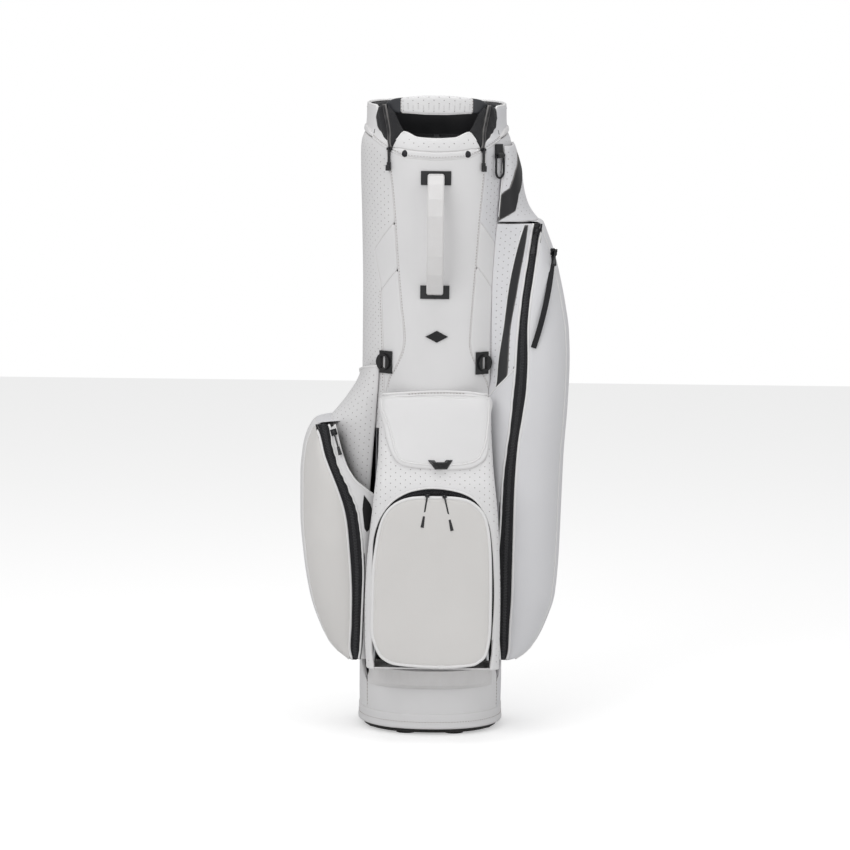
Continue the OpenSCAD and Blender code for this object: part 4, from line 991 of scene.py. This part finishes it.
# ---- pleated gussets in the notches ----
pleatLook = {"apex": 34.0, "lobe": 4.6}
for side, sign in (("left", -1), ("right", 1)):
    apex = (-64.5, 843.0)
    outerLobe = [apex, (-70, 851), (-77, 858), (-84, 870), (-86, 884), (-84, 899), (-76, 906), (-71, 884), (-67, 858)]
    innerLobe = [apex, (-66, 858), (-69, 884), (-72, 903), (-62, 892), (-54, 876), (-47, 866), (-53, 856), (-58, 848)]
    tape = [(-62.8, 842), (-66.2, 842), (-69, 858), (-72.5, 884), (-76, 904), (-72, 904), (-67.5, 884), (-64.4, 858)]
    if side == "right":
        outerLobe, innerLobe, tape = ([(-x, z) for x, z in shape] for shape in (outerLobe, innerLobe, tape))

    def crease(u, v, d, sign=sign):
        return 1.6 * np.sin(np.clip(d / 9, 0, 1) * math.pi * 0.5) + 0.5 * np.sin(u * 0.5 + v * 0.21)

    patch(side + "OuterPleat", tube, onTube(outerLobe), webbingWeave, puff=3.4, roll=7, grid=3, lift=-1.6,
          thick=2, swell=crease)
    patch(side + "InnerPleat", tube, onTube(innerLobe), webbingWeave, puff=4.0, roll=8, grid=3, lift=-2.6,
          thick=2, swell=crease)
    patch(side + "PleatTape", tube, onTube(tape), blackLeather, puff=0.7, roll=1.2, grid=3, lift=1.8, thick=2)
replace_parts(bpy.data.objects["leftInnerPleat"], "collar_gussets")
print("collar done")


# ---- front pockets ----
stackLook = {"corner": 15.0, "bow": 2.6}
stackLeft = curve((105, 90), (150, 92.5), (200, 93), (256, 91), (316, 85.5), (357, 81.5), (380, 79), (411, 76.6),
                  (440, 76), (470, 75), (492, 71.5), (500, 69))
stackRight = curve((105, 96.5), (200, 97), (258, 95.5), (310, 93), (342, 90.5), (377, 86.5), (405, 84), (436, 82),
                   (470, 80.5), (492, 77), (500, 74))
stackFront = curve((105, -174), (200, -176), (300, -176.5), (345, -175.5), (365, -172.5), (391, -160), (420, -148),
                   (450, -137), (475, -127.5), (492, -119), (500, -114.6))
stackDepth = curve((105, 62), (365, 62), (391, 52), (440, 40), (475, 26), (500, 8))


def stackRow(z):
    left, right, front, depth = (float(f(z)) for f in (stackLeft, stackRight, stackFront, stackDepth))
    r = min(stackLook["corner"], depth * 0.8)
    row = [(-left + 1, front + mix(depth, r, t)) for t in np.linspace(0, 1, 6, endpoint=False)]
    for k in range(9):
        a = math.pi / 2 * k / 8
        row.append((-left + r - r * math.cos(a), front + r - r * math.sin(a)))
    for t in np.linspace(0, 1, 31)[1:-1]:
        row.append((mix(-left + r, right - r, t), front - stackLook["bow"] * math.sin(math.pi * t) ** 0.8))
    for k in range(9):
        a = math.pi / 2 * k / 8
        row.append((right - r + r * math.sin(a), front + r - r * math.cos(a)))
    row += [(right - 1, front + mix(r, depth, t)) for t in np.linspace(0, 1, 7)[1:]]
    return row


stack = rowSurface(stackRow, 104, 500, origin=2.5)


def onStack(points):
    return [(stack.reach(x, z), z) for x, z in points]


archOuter = [(-83, 150), (-85, 206), (-84.5, 262), (-83.4, 291), (-78, 314), (-69, 332.5), (-55, 349), (-35.5, 360.4),
             (-16, 365.3), (2, 366.8), (23, 365), (42.5, 360.5), (59, 352), (70.5, 339), (79, 322.5), (84, 303),
             (88, 262), (90, 206), (87.5, 150)]
archOuter = finePath(onStack(archOuter), 5)
doorHalf = [(-82, 206), (-81, 250), (-77.5, 282), (-73.5, 308), (-66.5, 327.5), (-54, 342), (-36, 350.5), (-16, 353.2),
            (5, 353.4), (29, 353), (47.5, 350), (62, 342), (72.5, 329), (78.5, 309), (81.5, 282), (83, 250),
            (83.5, 206), (82.5, 157), (77.5, 130), (68, 119.5), (55, 114.5), (14, 111.5), (-43, 114.5), (-62, 120),
            (-73.5, 131), (-81.5, 157)]
doorLoop = [tuple(p) for p in smoothPath(onStack(doorHalf), 4, closed=True)[:-1]]

yokeTop = [(-71.5, 492), (-37, 495.3), (3.5, 497.4), (44.5, 497), (75.5, 493.5)]
sideBack = {"low": 106, "high": 490}


def stackEdge(side, heights, fromEnd=1.0):
    index = 0 if side == "left" else 1
    return [(stack.ends(z)[index] + (fromEnd if index == 0 else -fromEnd), z) for z in heights]


rising = np.linspace(sideBack["low"], sideBack["high"], 40)
mouth = [(-64, 458), (-62, 449), (-56, 444), (56, 444), (66, 449), (69, 458)]
yokeOutline = (stackEdge("left", rising) + finePath(onStack(yokeTop), 6) + stackEdge("right", rising[::-1])
               + [(stack.reach(84, 106), 106), (stack.reach(87, 130), 130)] + archOuter[::-1]
               + [(stack.reach(-83, 130), 130), (stack.reach(-80, 106), 106)])
patch("pocketYoke", stack, yokeOutline, dottedLeather, puff=1.4, roll=3.4, grid=4.5, thick=3,
      shift=(0, 4.0))
seamPiping("archPiping", stack, archOuter, 1.5, 0.4)
seamPiping("yokePiping", stack, onStack(yokeTop), 1.7, 1.2)
seamPiping("yokePipingLow", stack, [(u, z - 4.2) for u, z in onStack(yokeTop)], 1.1, 1.2)
seamStitches("yokeStitches", stack, [(u, z - 2.0) for u, z in onStack(yokeTop[1:-1])], 1.8)
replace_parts(bpy.data.objects["pocketYoke"], "ball_gusset", "valuables_pouch")


def sole(u, v):
    return np.stack([np.asarray(u, float), -np.asarray(v, float), np.full(np.shape(u), 107.8)], axis=1)


soleRow = [(x, -y) for x, y in stackRow(108)]
patch("pocketSole", sole, soleRow + [(60, 104), (20, 111), (-20, 111), (-60, 104)], dottedLeather, puff=0.8,
      roll=2, grid=6, thick=1.5)

# the tape of the arch's zip, with its row of teeth
tapeOuter = [(u * 1.035, z + (2.5 if z > 300 else 0)) for u, z in archOuter]
tapeInner = [(u, z) for u, z in doorLoop if z > 150]
order = sorted(range(len(tapeInner)), key=lambda k: math.atan2(tapeInner[k][1] - 160, tapeInner[k][0]))
tapeInner = [(tapeInner[k][0] * 0.96, tapeInner[k][1] - (2.5 if tapeInner[k][1] > 300 else 0)) for k in order]
patch("archTape", stack, tapeOuter[::-1] + tapeInner[::-1], tapeWeave, puff=0.3, roll=1.5, grid=4, thick=1.5,
      lift=-1.3)
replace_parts(bpy.data.objects["archTape"], "ball_zip_tape")
toothLook = {"pitch": 1.9, "across": 2.5, "along": 1.15, "high": 1.0}


def teeth(name, path, normals, body, look=toothLook):
    # a row of moulded teeth along a path, alternating from side to side
    p = evenPath(path, look["pitch"])
    source = np.linspace(0, len(normals) - 1, len(p))
    n = np.stack([np.interp(source, np.arange(len(normals)), normals[:, k]) for k in range(3)], axis=1)
    t = np.gradient(p, axis=0)
    t /= np.linalg.norm(t, axis=1)[:, None]
    n -= t * (n * t).sum(1)[:, None]
    n /= np.linalg.norm(n, axis=1)[:, None]
    side = np.cross(t, n)
    points, faces = [], []
    for k in range(len(p)):
        shove = 0.45 if k % 2 else -0.45
        base = len(points)
        for level, size in ((0.0, 1.0), (look["high"] * 0.7, 0.95), (look["high"], 0.6)):
            for a, b in ((-1, -1), (1, -1), (1, 1), (-1, 1)):
                points.append(p[k] + n[k] * level + side[k] * (shove + a * look["across"] / 2 * size)
                              + t[k] * b * look["along"] / 2 * size)
        for level in range(2):
            for a in range(4):
                i, j = base + level * 4 + a, base + level * 4 + (a + 1) % 4
                faces.append((i, j, j + 4, i + 4))
        faces.append(tuple(base + 8 + a for a in range(4)))
    return makePiece(name, points, faces, toothNylon, body, np.zeros((len(points), 3)), smooth=False)


middleArch = finePath([(mix(a[0], b[0], 0.5), mix(a[1], b[1], 0.5)) for a, b in
                       zip(smoothPath(archOuter, 6), evenPath(smoothPath(tapeInner[::-1], 6),
                                                              1)[np.linspace(0, 1e9, 1).astype(int) * 0])]) \
    if False else None
archMiddle = []
innerLoop = np.array(tapeInner)
for u, z in smoothPath(archOuter, 5):
    gaps = np.hypot(innerLoop[:, 0] - u, innerLoop[:, 1] - z)
    near = innerLoop[np.argmin(gaps)]
    archMiddle.append((mix(u, near[0], 0.42), mix(z, near[1], 0.42)))
archMiddle = smoothPath(archMiddle, 4)
teeth("archTeeth", onSurface(stack, archMiddle, -0.9), normalsOn(stack, archMiddle[:, 0], archMiddle[:, 1]), "bag")

# the ball pocket's door: a padded panel between its pipings
doorPanel = patch("ballDoor", stack, doorLoop, doorLeather, body="ball_door", lift=3.4, puff=2.4, roll=8, grid=5,
                  thick=4.5, backed=True)
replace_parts(doorPanel, "ball_door")
seamPiping("ballDoorPiping", stack, doorLoop, 2.3, 4.0, body="ball_door", closed=True)
innerRun = [(mix(u, 1, 0.055), mix(z, 230, 0.045)) for u, z in doorLoop]
seamPiping("ballDoorWelt", stack, innerRun, 0.8, 5.0, body="ball_door", closed=True, finish=doorLeather)
joinAt = stack.reach(14, 111.6)
patch("pipingJoin", stack, [(joinAt - 5, 109.4), (joinAt + 5, 109.2), (joinAt + 5, 114.4), (joinAt - 5, 114.4)],
      pipingLeather, body="ball_door", lift=5.6, puff=1.0, roll=1.6, grid=2, thick=1.4)

# the valuables pocket's flap: a rolled edge, a raised panel and a magnetic tab
flapEdge = [(-72.5, 488), (-73.6, 470), (-69.3, 449.5), (-64, 424.5), (-55.6, 406), (-45.7, 397), (-30, 393),
            (-3.3, 391), (24.3, 390.2), (45, 391.5), (58.4, 394.4), (73, 404.5), (77.7, 426), (79, 467), (77.5, 488),
            (40, 490.3), (3, 490.8), (-36, 489.6)]
flapPanel = [(-70.5, 486), (-69.2, 470.8), (-62.6, 449.6), (-55.6, 424.6), (-51.4, 411.5), (-44.8, 402.6), (-30, 398.6),
             (-5, 396.8), (29, 396.9), (46, 398.6), (60, 402.8), (67.6, 410.6), (73, 430), (75.4, 468), (74.6, 486),
             (40, 488), (3, 488.6), (-36, 487.6)]


def crowned(u, v, d):
    return 2.2 * np.sin(np.clip(d / 34, 0, 1) * math.pi / 2)


flapPiece = patch("valuablesFlap", stack, finePath(onStack(flapEdge), 4)[:-1], plainLeather, body="flap", lift=2.8,
                  puff=2.6, roll=4.2, grid=5, thick=3.0, backed=True)
patch("flapPanel", stack, finePath(onStack(flapPanel), 4)[:-1], plainLeather, body="flap", lift=4.6, puff=1.5,
      roll=3.0, grid=5, thick=1.6, swell=crowned)
weltRun = onStack(flapPanel[:15])
seamPiping("flapWelt", stack, weltRun, 1.15, 5.6, body="flap")
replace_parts(flapPiece, "valuables_flap")
tabShape = [(-6.7, 402.4), (-5.6, 400.8), (3.2, 390.4), (20.2, 390.8), (27.2, 401.4), (27.9, 402.9), (18.6, 402.9),
            (16.1, 399.9), (4.7, 399.8), (2.2, 402.4)]
tabPiece = patch("flapTab", stack, onStack(tabShape), glossPlastic, body="flap", lift=7.6, puff=1.6, roll=1.6, grid=2,
                 thick=3.6)
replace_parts(tabPiece, "flap_tab")
for k, (z, half) in enumerate(((397.4, 5.4), (395.4, 4.4), (393.4, 3.4))):
    seamPiping("tabRib%d" % k, stack, onStack([(11.6 - half, z), (11.6, z - 0.5), (11.6 + half, z)]), 0.45, 9.3,
               body="flap", finish=glossPlastic)
print("front pockets done")


# ---- side pockets ----
# drawn on the right; the left pocket is the mirror of its own numbers
pocketLook = {
    "right": {
        "zip": (101.5, -108, 230, 2050, 45), "low": 110.0, "top": 736.0, "seamIn": 6.0,
        "inner": curve((108, 100), (140, 97.3), (180, 95.5), (262, 95.2), (302, 97.3), (362, 99.3), (403, 103.2),
                       (443, 108.2), (483, 111.8), (522, 115.3), (562, 117.2), (602, 120.2), (642, 124.6),
                       (681, 130.5), (736, 139)),
        "outer": curve((108, 108), (125, 112), (160, 113.2), (200, 115.4), (262, 116.3), (342, 117.5), (383, 119.2),
                       (423, 122.3), (463, 128.3), (502, 133.3), (542, 134.7), (582, 133.9), (622, 136.4),
                       (661, 141.8), (700, 146.5), (736, 150)),
        "reach": curve((108, 122), (116, 138), (131, 152), (160, 166), (195, 177), (254, 182), (343, 185), (401, 187),
                       (474, 192), (533, 194), (576, 192.5), (620, 186), (656, 178.5), (692, 169.5), (718, 160),
                       (736, 153)),
    },
    "left": {
        "zip": (105.5, -108, 190, 720, 31), "low": 108.0, "top": 446.0, "seamIn": 5.0,
        "inner": curve((108, 103), (127, 100.4), (162, 99.2), (197, 98.2), (232, 97.3), (266, 98.8), (300, 102.3),
                       (317, 105), (334, 109.9), (351, 117.2), (368, 125.4), (385, 132.9), (402, 138.6),
                       (419, 143.3), (436, 146.2), (446, 149)),
        "outer": curve((108, 112), (127, 116.1), (162, 114.7), (197, 114.5), (232, 115.8), (266, 118.5), (300, 121.9),
                       (317, 124.8), (334, 129.3), (351, 135.4), (368, 142.2), (385, 149.3), (402, 155.6),
                       (419, 159.7), (436, 163.8), (446, 166)),
        "reach": curve((108, 120), (117, 136), (125, 145), (143, 156), (193, 174), (252, 184), (310, 189), (369, 189.5),
                       (408, 186), (428, 180.5), (440, 174), (446, 169)),
    },
}
rearPhi = 116.0
gussetPhi = curve((350, 62), (400, 58), (500, 49), (640, 49), (736, 53), (830, 62))


def zipDepth(spec, z):
    radius = spec["zip"][3]
    rise = max(0.0, z - spec["zip"][2])
    return spec["zip"][1] + (radius - math.sqrt(radius ** 2 - rise ** 2)) * math.sin(math.radians(spec["zip"][4]))


def tubePoint(phi, z, out):
    x, y = oval(phi, tubeAt(z) + out)
    return float(x), float(y)


def bulge(front, rear, reach, count=40):
    # a quarter-rounded sweep from a front point to a rear point
    t = np.linspace(0, 1, count)
    s = np.sin(math.pi * t) ** 0.85
    c = signedPower(np.cos(math.pi * t), 0.85)
    line = front[0] + (rear[0] - front[0]) * t
    middle = (front[1] + rear[1]) / 2
    return list(zip(line + (reach - line) * s, middle - (rear[1] - middle) * c))


def pocketSurfaces(side):
    spec = pocketLook[side]
    low, top = spec["low"], spec["top"]

    def doorRow(z):
        front = (float(spec["outer"](z)) + 0.5, zipDepth(spec, z))
        return bulge(front, tubePoint(rearPhi, z, 2), max(float(spec["reach"](z)), front[0] + 3))

    def wallRow(z):
        edge = float((stackLeft if side == "left" else stackRight)(min(z, 495))) - 2.0
        blend = min(1.0, max(0.0, (z - 470) / 40))
        hug = tubePoint(float(gussetPhi(z)), z, 1.5)
        start = (mix(edge, hug[0], blend), mix(-97.0 + max(0, z - 340) * 0.08, hug[1], blend))
        end = (float(spec["inner"](z)) + 0.5, zipDepth(spec, z) - 0.5)
        t = np.linspace(0, 1, 16)
        bow = 2.2 * np.sin(math.pi * t)
        return list(zip(start[0] + (end[0] - start[0]) * t - bow * 0.3, start[1] + (end[1] - start[1]) * t - bow))

    def tapeRow(z):
        a, b = float(spec["inner"](z)) - 2.5, float(spec["outer"](z)) + 3
        t = np.linspace(0, 1, 9)
        return list(zip(a + (b - a) * t, zipDepth(spec, z) - 0.6 - 1.0 * np.sin(math.pi * t)))

    made = [rowSurface(row, low - 2, top + 2) for row in (doorRow, wallRow, tapeRow)]
    return made if side == "right" else [mirroredSurface(s) for s in made], made


for side in ("left", "right"):
    spec = pocketLook[side]
    sign = -1 if side == "left" else 1
    (door, wall, tape), (plainDoor, plainWall, plainTape) = pocketSurfaces(side)
    low, top = spec["low"], spec["top"]
    body = side + "_door"

    def turned(points, sign=sign):
        return [(sign * u, z) for u, z in points]

    levels = np.linspace(low + 1, top - 1, 60)
    seamEdge = [(plainDoor.reach(float(spec["reach"](z)) - spec["seamIn"], z, "front"), z) for z in levels]
    doorEdge = [(0.0, z) for z in levels]
    rearEdge = [(plainDoor.ends(z)[1], z) for z in levels]
    # painted shade: the right door's pieces take the darker copy of the leather
    patch(side + "DoorFace", door, turned(doorEdge + seamEdge[::-1]), doorLeather if side == "left" else shadedLeather,
          body=body, lift=0.6, puff=2.0, roll=7, grid=7, thick=3)
    patch(side + "DoorSide", door, turned(seamEdge + rearEdge[::-1]), plainLeather if side == "left" else shadedLeather,
          body=body, lift=0.4, puff=1.6, roll=5, grid=8, thick=3)
    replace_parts(bpy.data.objects[side + "DoorFace"], side + "_door")
    seamPiping(side + "DoorPiping", door, turned(doorEdge), 1.8, 1.0, body=body)
    seamPiping(side + "DoorSeam", door, turned(seamEdge), 1.3, 1.6, body=body)
    for capName, level, lean in (("DoorSole", low + 1, -1), ("DoorTop", top - 1, 1)):
        outerRow = plainDoor(np.linspace(0, plainDoor.ends(level)[1], 40), np.full(40, level))
        hugRow = np.array([(*tubePoint(p, level, 1.5), level) for p in np.linspace(72, rearPhi, 40)])
        rings = np.array([mix(outerRow, hugRow, k) + np.array([0, 0, lean * h]) for k, h in
                          ((0, 0), (0.02, 1.2), (0.1, 2.4), (0.5, 3), (1, 3))]) * np.array([sign, 1, 1])
        faces = [(i * 40 + j, i * 40 + j + 1, (i + 1) * 40 + j + 1, (i + 1) * 40 + j)
                 for i in range(4) for j in range(39)]
        if sign * lean < 0:
            faces = [f[::-1] for f in faces]
        # painted shade: the door's sole and top on both sides take the darker copy of the leather
        makePiece(side + capName, rings.reshape(-1, 3), faces, shadedLeather, body, np.full((200, 3), 9.0))
    tapeEnds = [(0.0, z) for z in levels] + [(plainTape.ends(z)[1], z) for z in levels[::-1]]
    tapePiece = patch(side + "ZipTape", tape, turned(tapeEnds), tapeWeave, body=body, puff=0.3, roll=1.5, grid=4,
                      thick=1.4)
    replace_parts(tapePiece, side + "_zip_tape")
    middle = [(plainTape.ends(z)[1] / 2, z) for z in levels]
    run = np.array(turned(middle))
    teeth(side + "ZipTeeth", onSurface(tape, run, 0.3), normalsOn(tape, run[:, 0], run[:, 1]), body,
          {"pitch": 2.2, "across": 5.0, "along": 1.3, "high": 0.7})
    wallEdge = [(plainWall.ends(z)[1], z) for z in levels]
    if side == "right":
        cutLow, cutHigh = 487.0, 530.0
        split = [(0.0, cutLow), (plainWall.ends(cutHigh)[1], cutHigh)]
        lowerWall = [(0.0, low + 1)] + [p for p in wallEdge if p[1] < cutHigh] + [split[1], split[0]]
        upperWall = [split[0], split[1]] + [p for p in wallEdge if p[1] > cutHigh] + [(0.0, top - 1)]
        # painted shade: the right wall takes the darker copies of the leather
        lowPiece = patch("rightWallLow", wall, lowerWall, shadedLeather, puff=1.0, roll=2.4, grid=5, thick=3)
        patch("rightWallHigh", wall, upperWall, shadedDotted, puff=1.0, roll=2.2, grid=4, thick=3)
        seamPiping("rightWallSeam", wall, split, 1.2, 0.9)
        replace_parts(lowPiece, "right_gusset")
        stripeLeft = [(125.9, 733), (116, 698), (104.8, 642), (98.6, 586), (92.5, 540), (88.7, 499)]
        stripeRight = [(104.8, 517), (106.4, 530), (109, 586), (118, 642), (127.5, 698), (132, 733)]
        stripe = [(plainWall.reach(x, z), z) for x, z in stripeLeft + stripeRight]
        stripePiece = patch("sideStripe", wall, finePath(stripe[:6], 6) + finePath(stripe[6:], 6), blackLeather,
                            lift=1.2, puff=0.8, roll=1.6, grid=3, thick=1.6)
        seamPiping("stripePiping", wall, stripe[:6], 0.9, 1.3)
        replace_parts(stripePiece, "side_stripe")
    else:
        bandTop = [(82, 344), (95, 354), (109, 365), (118, 377), (125, 390), (131, 407), (136, 425), (139, 438),
                   (141, 445)]
        band = [(plainWall.reach(x, z), z) for x, z in bandTop]
        outline = [(0.0, low + 1)] + wallEdge[:-1] + band[::-1]
        lowPiece = patch("leftWall", wall, turned(outline), plainLeather, puff=1.0, roll=2.4, grid=4, thick=3)
        seamPiping("leftBandPiping", wall, turned(band), 1.7, 1.0)
        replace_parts(lowPiece, "left_gusset", "slip_lining")
        # painted shadow: a near-black sheet stands for the shaded opening of the pen slot
        slot = [(98, 346), (89, 333), (86.4, 323), (90.5, 296), (94, 293), (97, 298), (100, 326)]
        slotPiece = patch("penSlot", wall, turned([(plainWall.reach(x, z), z) for x, z in slot]), holeShadow, lift=1.3,
                          puff=0.4, roll=1.0, grid=3, thick=1)
        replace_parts(slotPiece, "pen_slot")
    seamPiping(side + "WallPiping", wall, turned(wallEdge), 1.6, 0.8)


def shoulderSurface(frontPhi, reach, low, high):
    def row(z):
        front = tubePoint(float(frontPhi(z)), z, 3.5)
        rear = tubePoint(rearPhi, z, 3.5)
        out = []
        for k, (x, y) in enumerate(bulge(front, rear, float(reach(z)))):
            hug = tubePoint(mix(float(frontPhi(z)), rearPhi, k / 39), z, 3.5)
            out.append((x, y) if x > hug[0] else hug)
        return out
    return rowSurface(row, low, high)


shroudReach = curve((340, 120), (400, 138), (446, 149), (459, 139), (480, 123), (504, 108.5), (520, 103), (536, 101))
shroud = shoulderSurface(curve((340, 56), (446, 49), (536, 44)), shroudReach, 340, 536)
shroudSpan = np.linspace(346, 531, 36)
shroudOutline = ([(0.0, z) for z in shroudSpan]
                 + [(mix(0, shroud.ends(531)[1], t), 531 - 24 * t) for t in np.linspace(0.05, 0.95, 12)]
                 + [(shroud.ends(z)[1], z) for z in shroudSpan[::-1] if z < 506])
shroudPiece = patch("leftShroud", mirroredSurface(shroud), [(-u, z) for u, z in shroudOutline], dottedLeather, puff=1.2,
                    roll=3, grid=5, thick=3)
seamPiping("shroudPiping", mirroredSurface(shroud), [(-mix(0, shroud.ends(531)[1], t), 531 - 24 * t)
                                                     for t in np.linspace(0, 1, 14)], 1.5, 0.8)
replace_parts(shroudPiece, "left_shroud")

shoulderReach = curve((734, 152), (745, 141), (760, 132), (781, 126), (810, 121.5), (832, 116), (850, 110))
shoulder = shoulderSurface(curve((734, 53), (850, 58)), shoulderReach, 734, 850)
shoulderSpan = np.linspace(738, 846, 26)
# painted shade: the right shoulder takes the darker perforated copy of the leather
shoulderPiece = patch("rightShoulder", shoulder, [(0.0, z) for z in shoulderSpan]
                      + [(shoulder.ends(z)[1], z) for z in shoulderSpan[::-1]], shadedDotted, puff=1.2, roll=3, grid=5,
                      thick=3)
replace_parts(shoulderPiece, "right_shoulder")
glove = [(89, 739), (91.5, 776), (97, 781), (104, 786), (111, 810), (117, 835), (122, 812), (125, 803), (117, 776),
         (113, 753)]
gloveOutline = [(shoulder.reach(min(x, float(shoulderReach(z)) - 1), z, "front"), z) for x, z in glove]
glovePiece = patch("glovePatch", shoulder, gloveOutline, blackLeather, lift=1.6, puff=1.0, roll=2, grid=3, thick=2)
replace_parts(glovePiece, "glove_patch")
seamPiping("shoulderSeam", shoulder, [(shoulder.reach(x, z, "front"), z) for x, z in
                                      ((93, 822), (90, 797), (87.5, 745))], 1.0, 1.0)
print("side pockets done")

# ---- small pieces ----
materialsFor = {
    "foot_tread": footRubber, "foot_tray": blackPlastic, "club_divider": blackPlastic, "stay_rods": rodMetal,
    "towel_ring": blackMetal, "strap_anchors": blackPlastic, "anchor_screws": screwMetal,
    "strap_adjuster": blackPlastic, "hood_studs": blackMetal, "hood_hook_left": blackPlastic,
    "hood_hook_right": blackPlastic, "grip_ports": blackPlastic, "badge_plate": glossPlastic,
    "cart_guides": glossPlastic, "towel_tab": webbingWeave, "upper_zip_tape": tapeWeave,
    "ball_slider_left": blackMetal, "ball_slider_right": blackMetal, "left_slider": blackMetal,
    "right_slider": blackMetal, "upper_slider": blackMetal, "ball_pull_left": blackPlastic,
    "ball_pull_right": blackPlastic, "left_pull": blackPlastic, "right_pull": blackPlastic,
    "upper_pull": blackPlastic, "shoulder_strap": webbingWeave, "divider_sheets": liningWeave,
    # painted shade: the strap pad takes the darker perforated copy of the leather
    "base_grip": dottedLeather, "grab_handle": plainLeather, "strap_pad": shadedDotted,
}
for node, finish in materialsFor.items():
    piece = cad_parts[node]
    piece.data.materials.clear()
    piece.data.materials.append(finish)
print("small pieces dressed")


# ---- stage ----
cameraLook = {"distance": 6.5, "height": 1.22, "aim": 0.46, "lens": 191.1, "roll": 0.66,
              "shiftX": -0.0099, "shiftY": -0.0196}
lightLook = {
    "sky": 0.50,
    "boxes": {
        # place, aim, width and height in metres, and watts
        "keyBox": ((-1.5, -2.7, 1.9), (0, 0, 0.5), (1.6, 1.6), 26),
        "fillBox": ((2.2, -2.2, 1.2), (0, 0, 0.5), (1.4, 1.8), 10),
        "topBox": ((0, -0.3, 2.9), (0, 0, 0.4), (1.8, 1.8), 22),
    },
}
floorLook = {"size": 9.0, "colour": (0.80, 0.80, 0.80), "lift": 0.42}

bpy.context.scene.view_settings.view_transform = "Standard"
world = bpy.data.worlds.new("studio")
bpy.context.scene.world = world
world.use_nodes = True
world.node_tree.nodes.clear()
studio = Nodes(world.node_tree)
rays = studio.node("ShaderNodeLightPath")
shownRay = rays[0].maths("MAXIMUM", rays[4].maths("MAXIMUM", rays[6]))
sky = studio.node("ShaderNodeBackground", {}, {0: (1, 1, 1, 1), 1: lightLook["sky"]})[0]
backdrop = studio.node("ShaderNodeBackground", {}, {0: (1, 1, 1, 1), 1: 1.0})[0]
studio.node("ShaderNodeOutputWorld", {}, {0: studio.node("ShaderNodeMixShader", {}, {0: shownRay, 1: sky, 2: backdrop})[0]})

for name, (place, aim, size, power) in lightLook["boxes"].items():
    lamp = bpy.data.lights.new(name, "AREA")
    lamp.shape = "RECTANGLE"
    lamp.size, lamp.size_y = size
    lamp.energy = power
    box = bpy.data.objects.new(name, lamp)
    box.location = place
    box.rotation_euler = (Vector(aim) - Vector(place)).to_track_quat("-Z", "Y").to_euler()
    bpy.context.scene.collection.objects.link(box)

floorMaterial = bpy.data.materials.new("floorPaper")
floorMaterial.use_nodes = True
floorMaterial.node_tree.nodes.clear()
paper = Nodes(floorMaterial.node_tree)
rays = paper.node("ShaderNodeLightPath")
shownRay = rays[0].maths("MAXIMUM", rays[4].maths("MAXIMUM", rays[6]))
matt = paper.node("ShaderNodeBsdfDiffuse", {}, {0: rgba(floorLook["colour"])})[0]
glow = paper.node("ShaderNodeEmission", {}, {0: (1, 1, 1, 1), 1: shownRay * floorLook["lift"]})[0]
paper.node("ShaderNodeOutputMaterial", {}, {0: paper.node("ShaderNodeAddShader", {}, {0: matt, 1: glow})[0]})
half = floorLook["size"] / 2
floorMesh = bpy.data.meshes.new("floor")
floorMesh.from_pydata([(-half, -half, 0), (half, -half, 0), (half, half, 0), (-half, half, 0)], [], [(0, 1, 2, 3)])
floorMesh.materials.append(floorMaterial)
floor = bpy.data.objects.new("floor", floorMesh)
bpy.context.scene.collection.objects.link(floor)

camera = bpy.data.objects.new("camera", bpy.data.cameras.new("camera"))
bpy.context.scene.collection.objects.link(camera)
camera.location = (0, -cameraLook["distance"], cameraLook["height"])
aim = Vector((0, 0, cameraLook["aim"]))
turn = (aim - camera.location).to_track_quat("-Z", "Y").to_matrix().to_4x4()
camera.rotation_euler = (turn @ Matrix.Rotation(math.radians(cameraLook["roll"]), 4, "Z")).to_euler()
camera.data.lens = cameraLook["lens"]
camera.data.shift_x = cameraLook["shiftX"]
camera.data.shift_y = cameraLook["shiftY"]
bpy.context.scene.camera = camera
print("stage set")
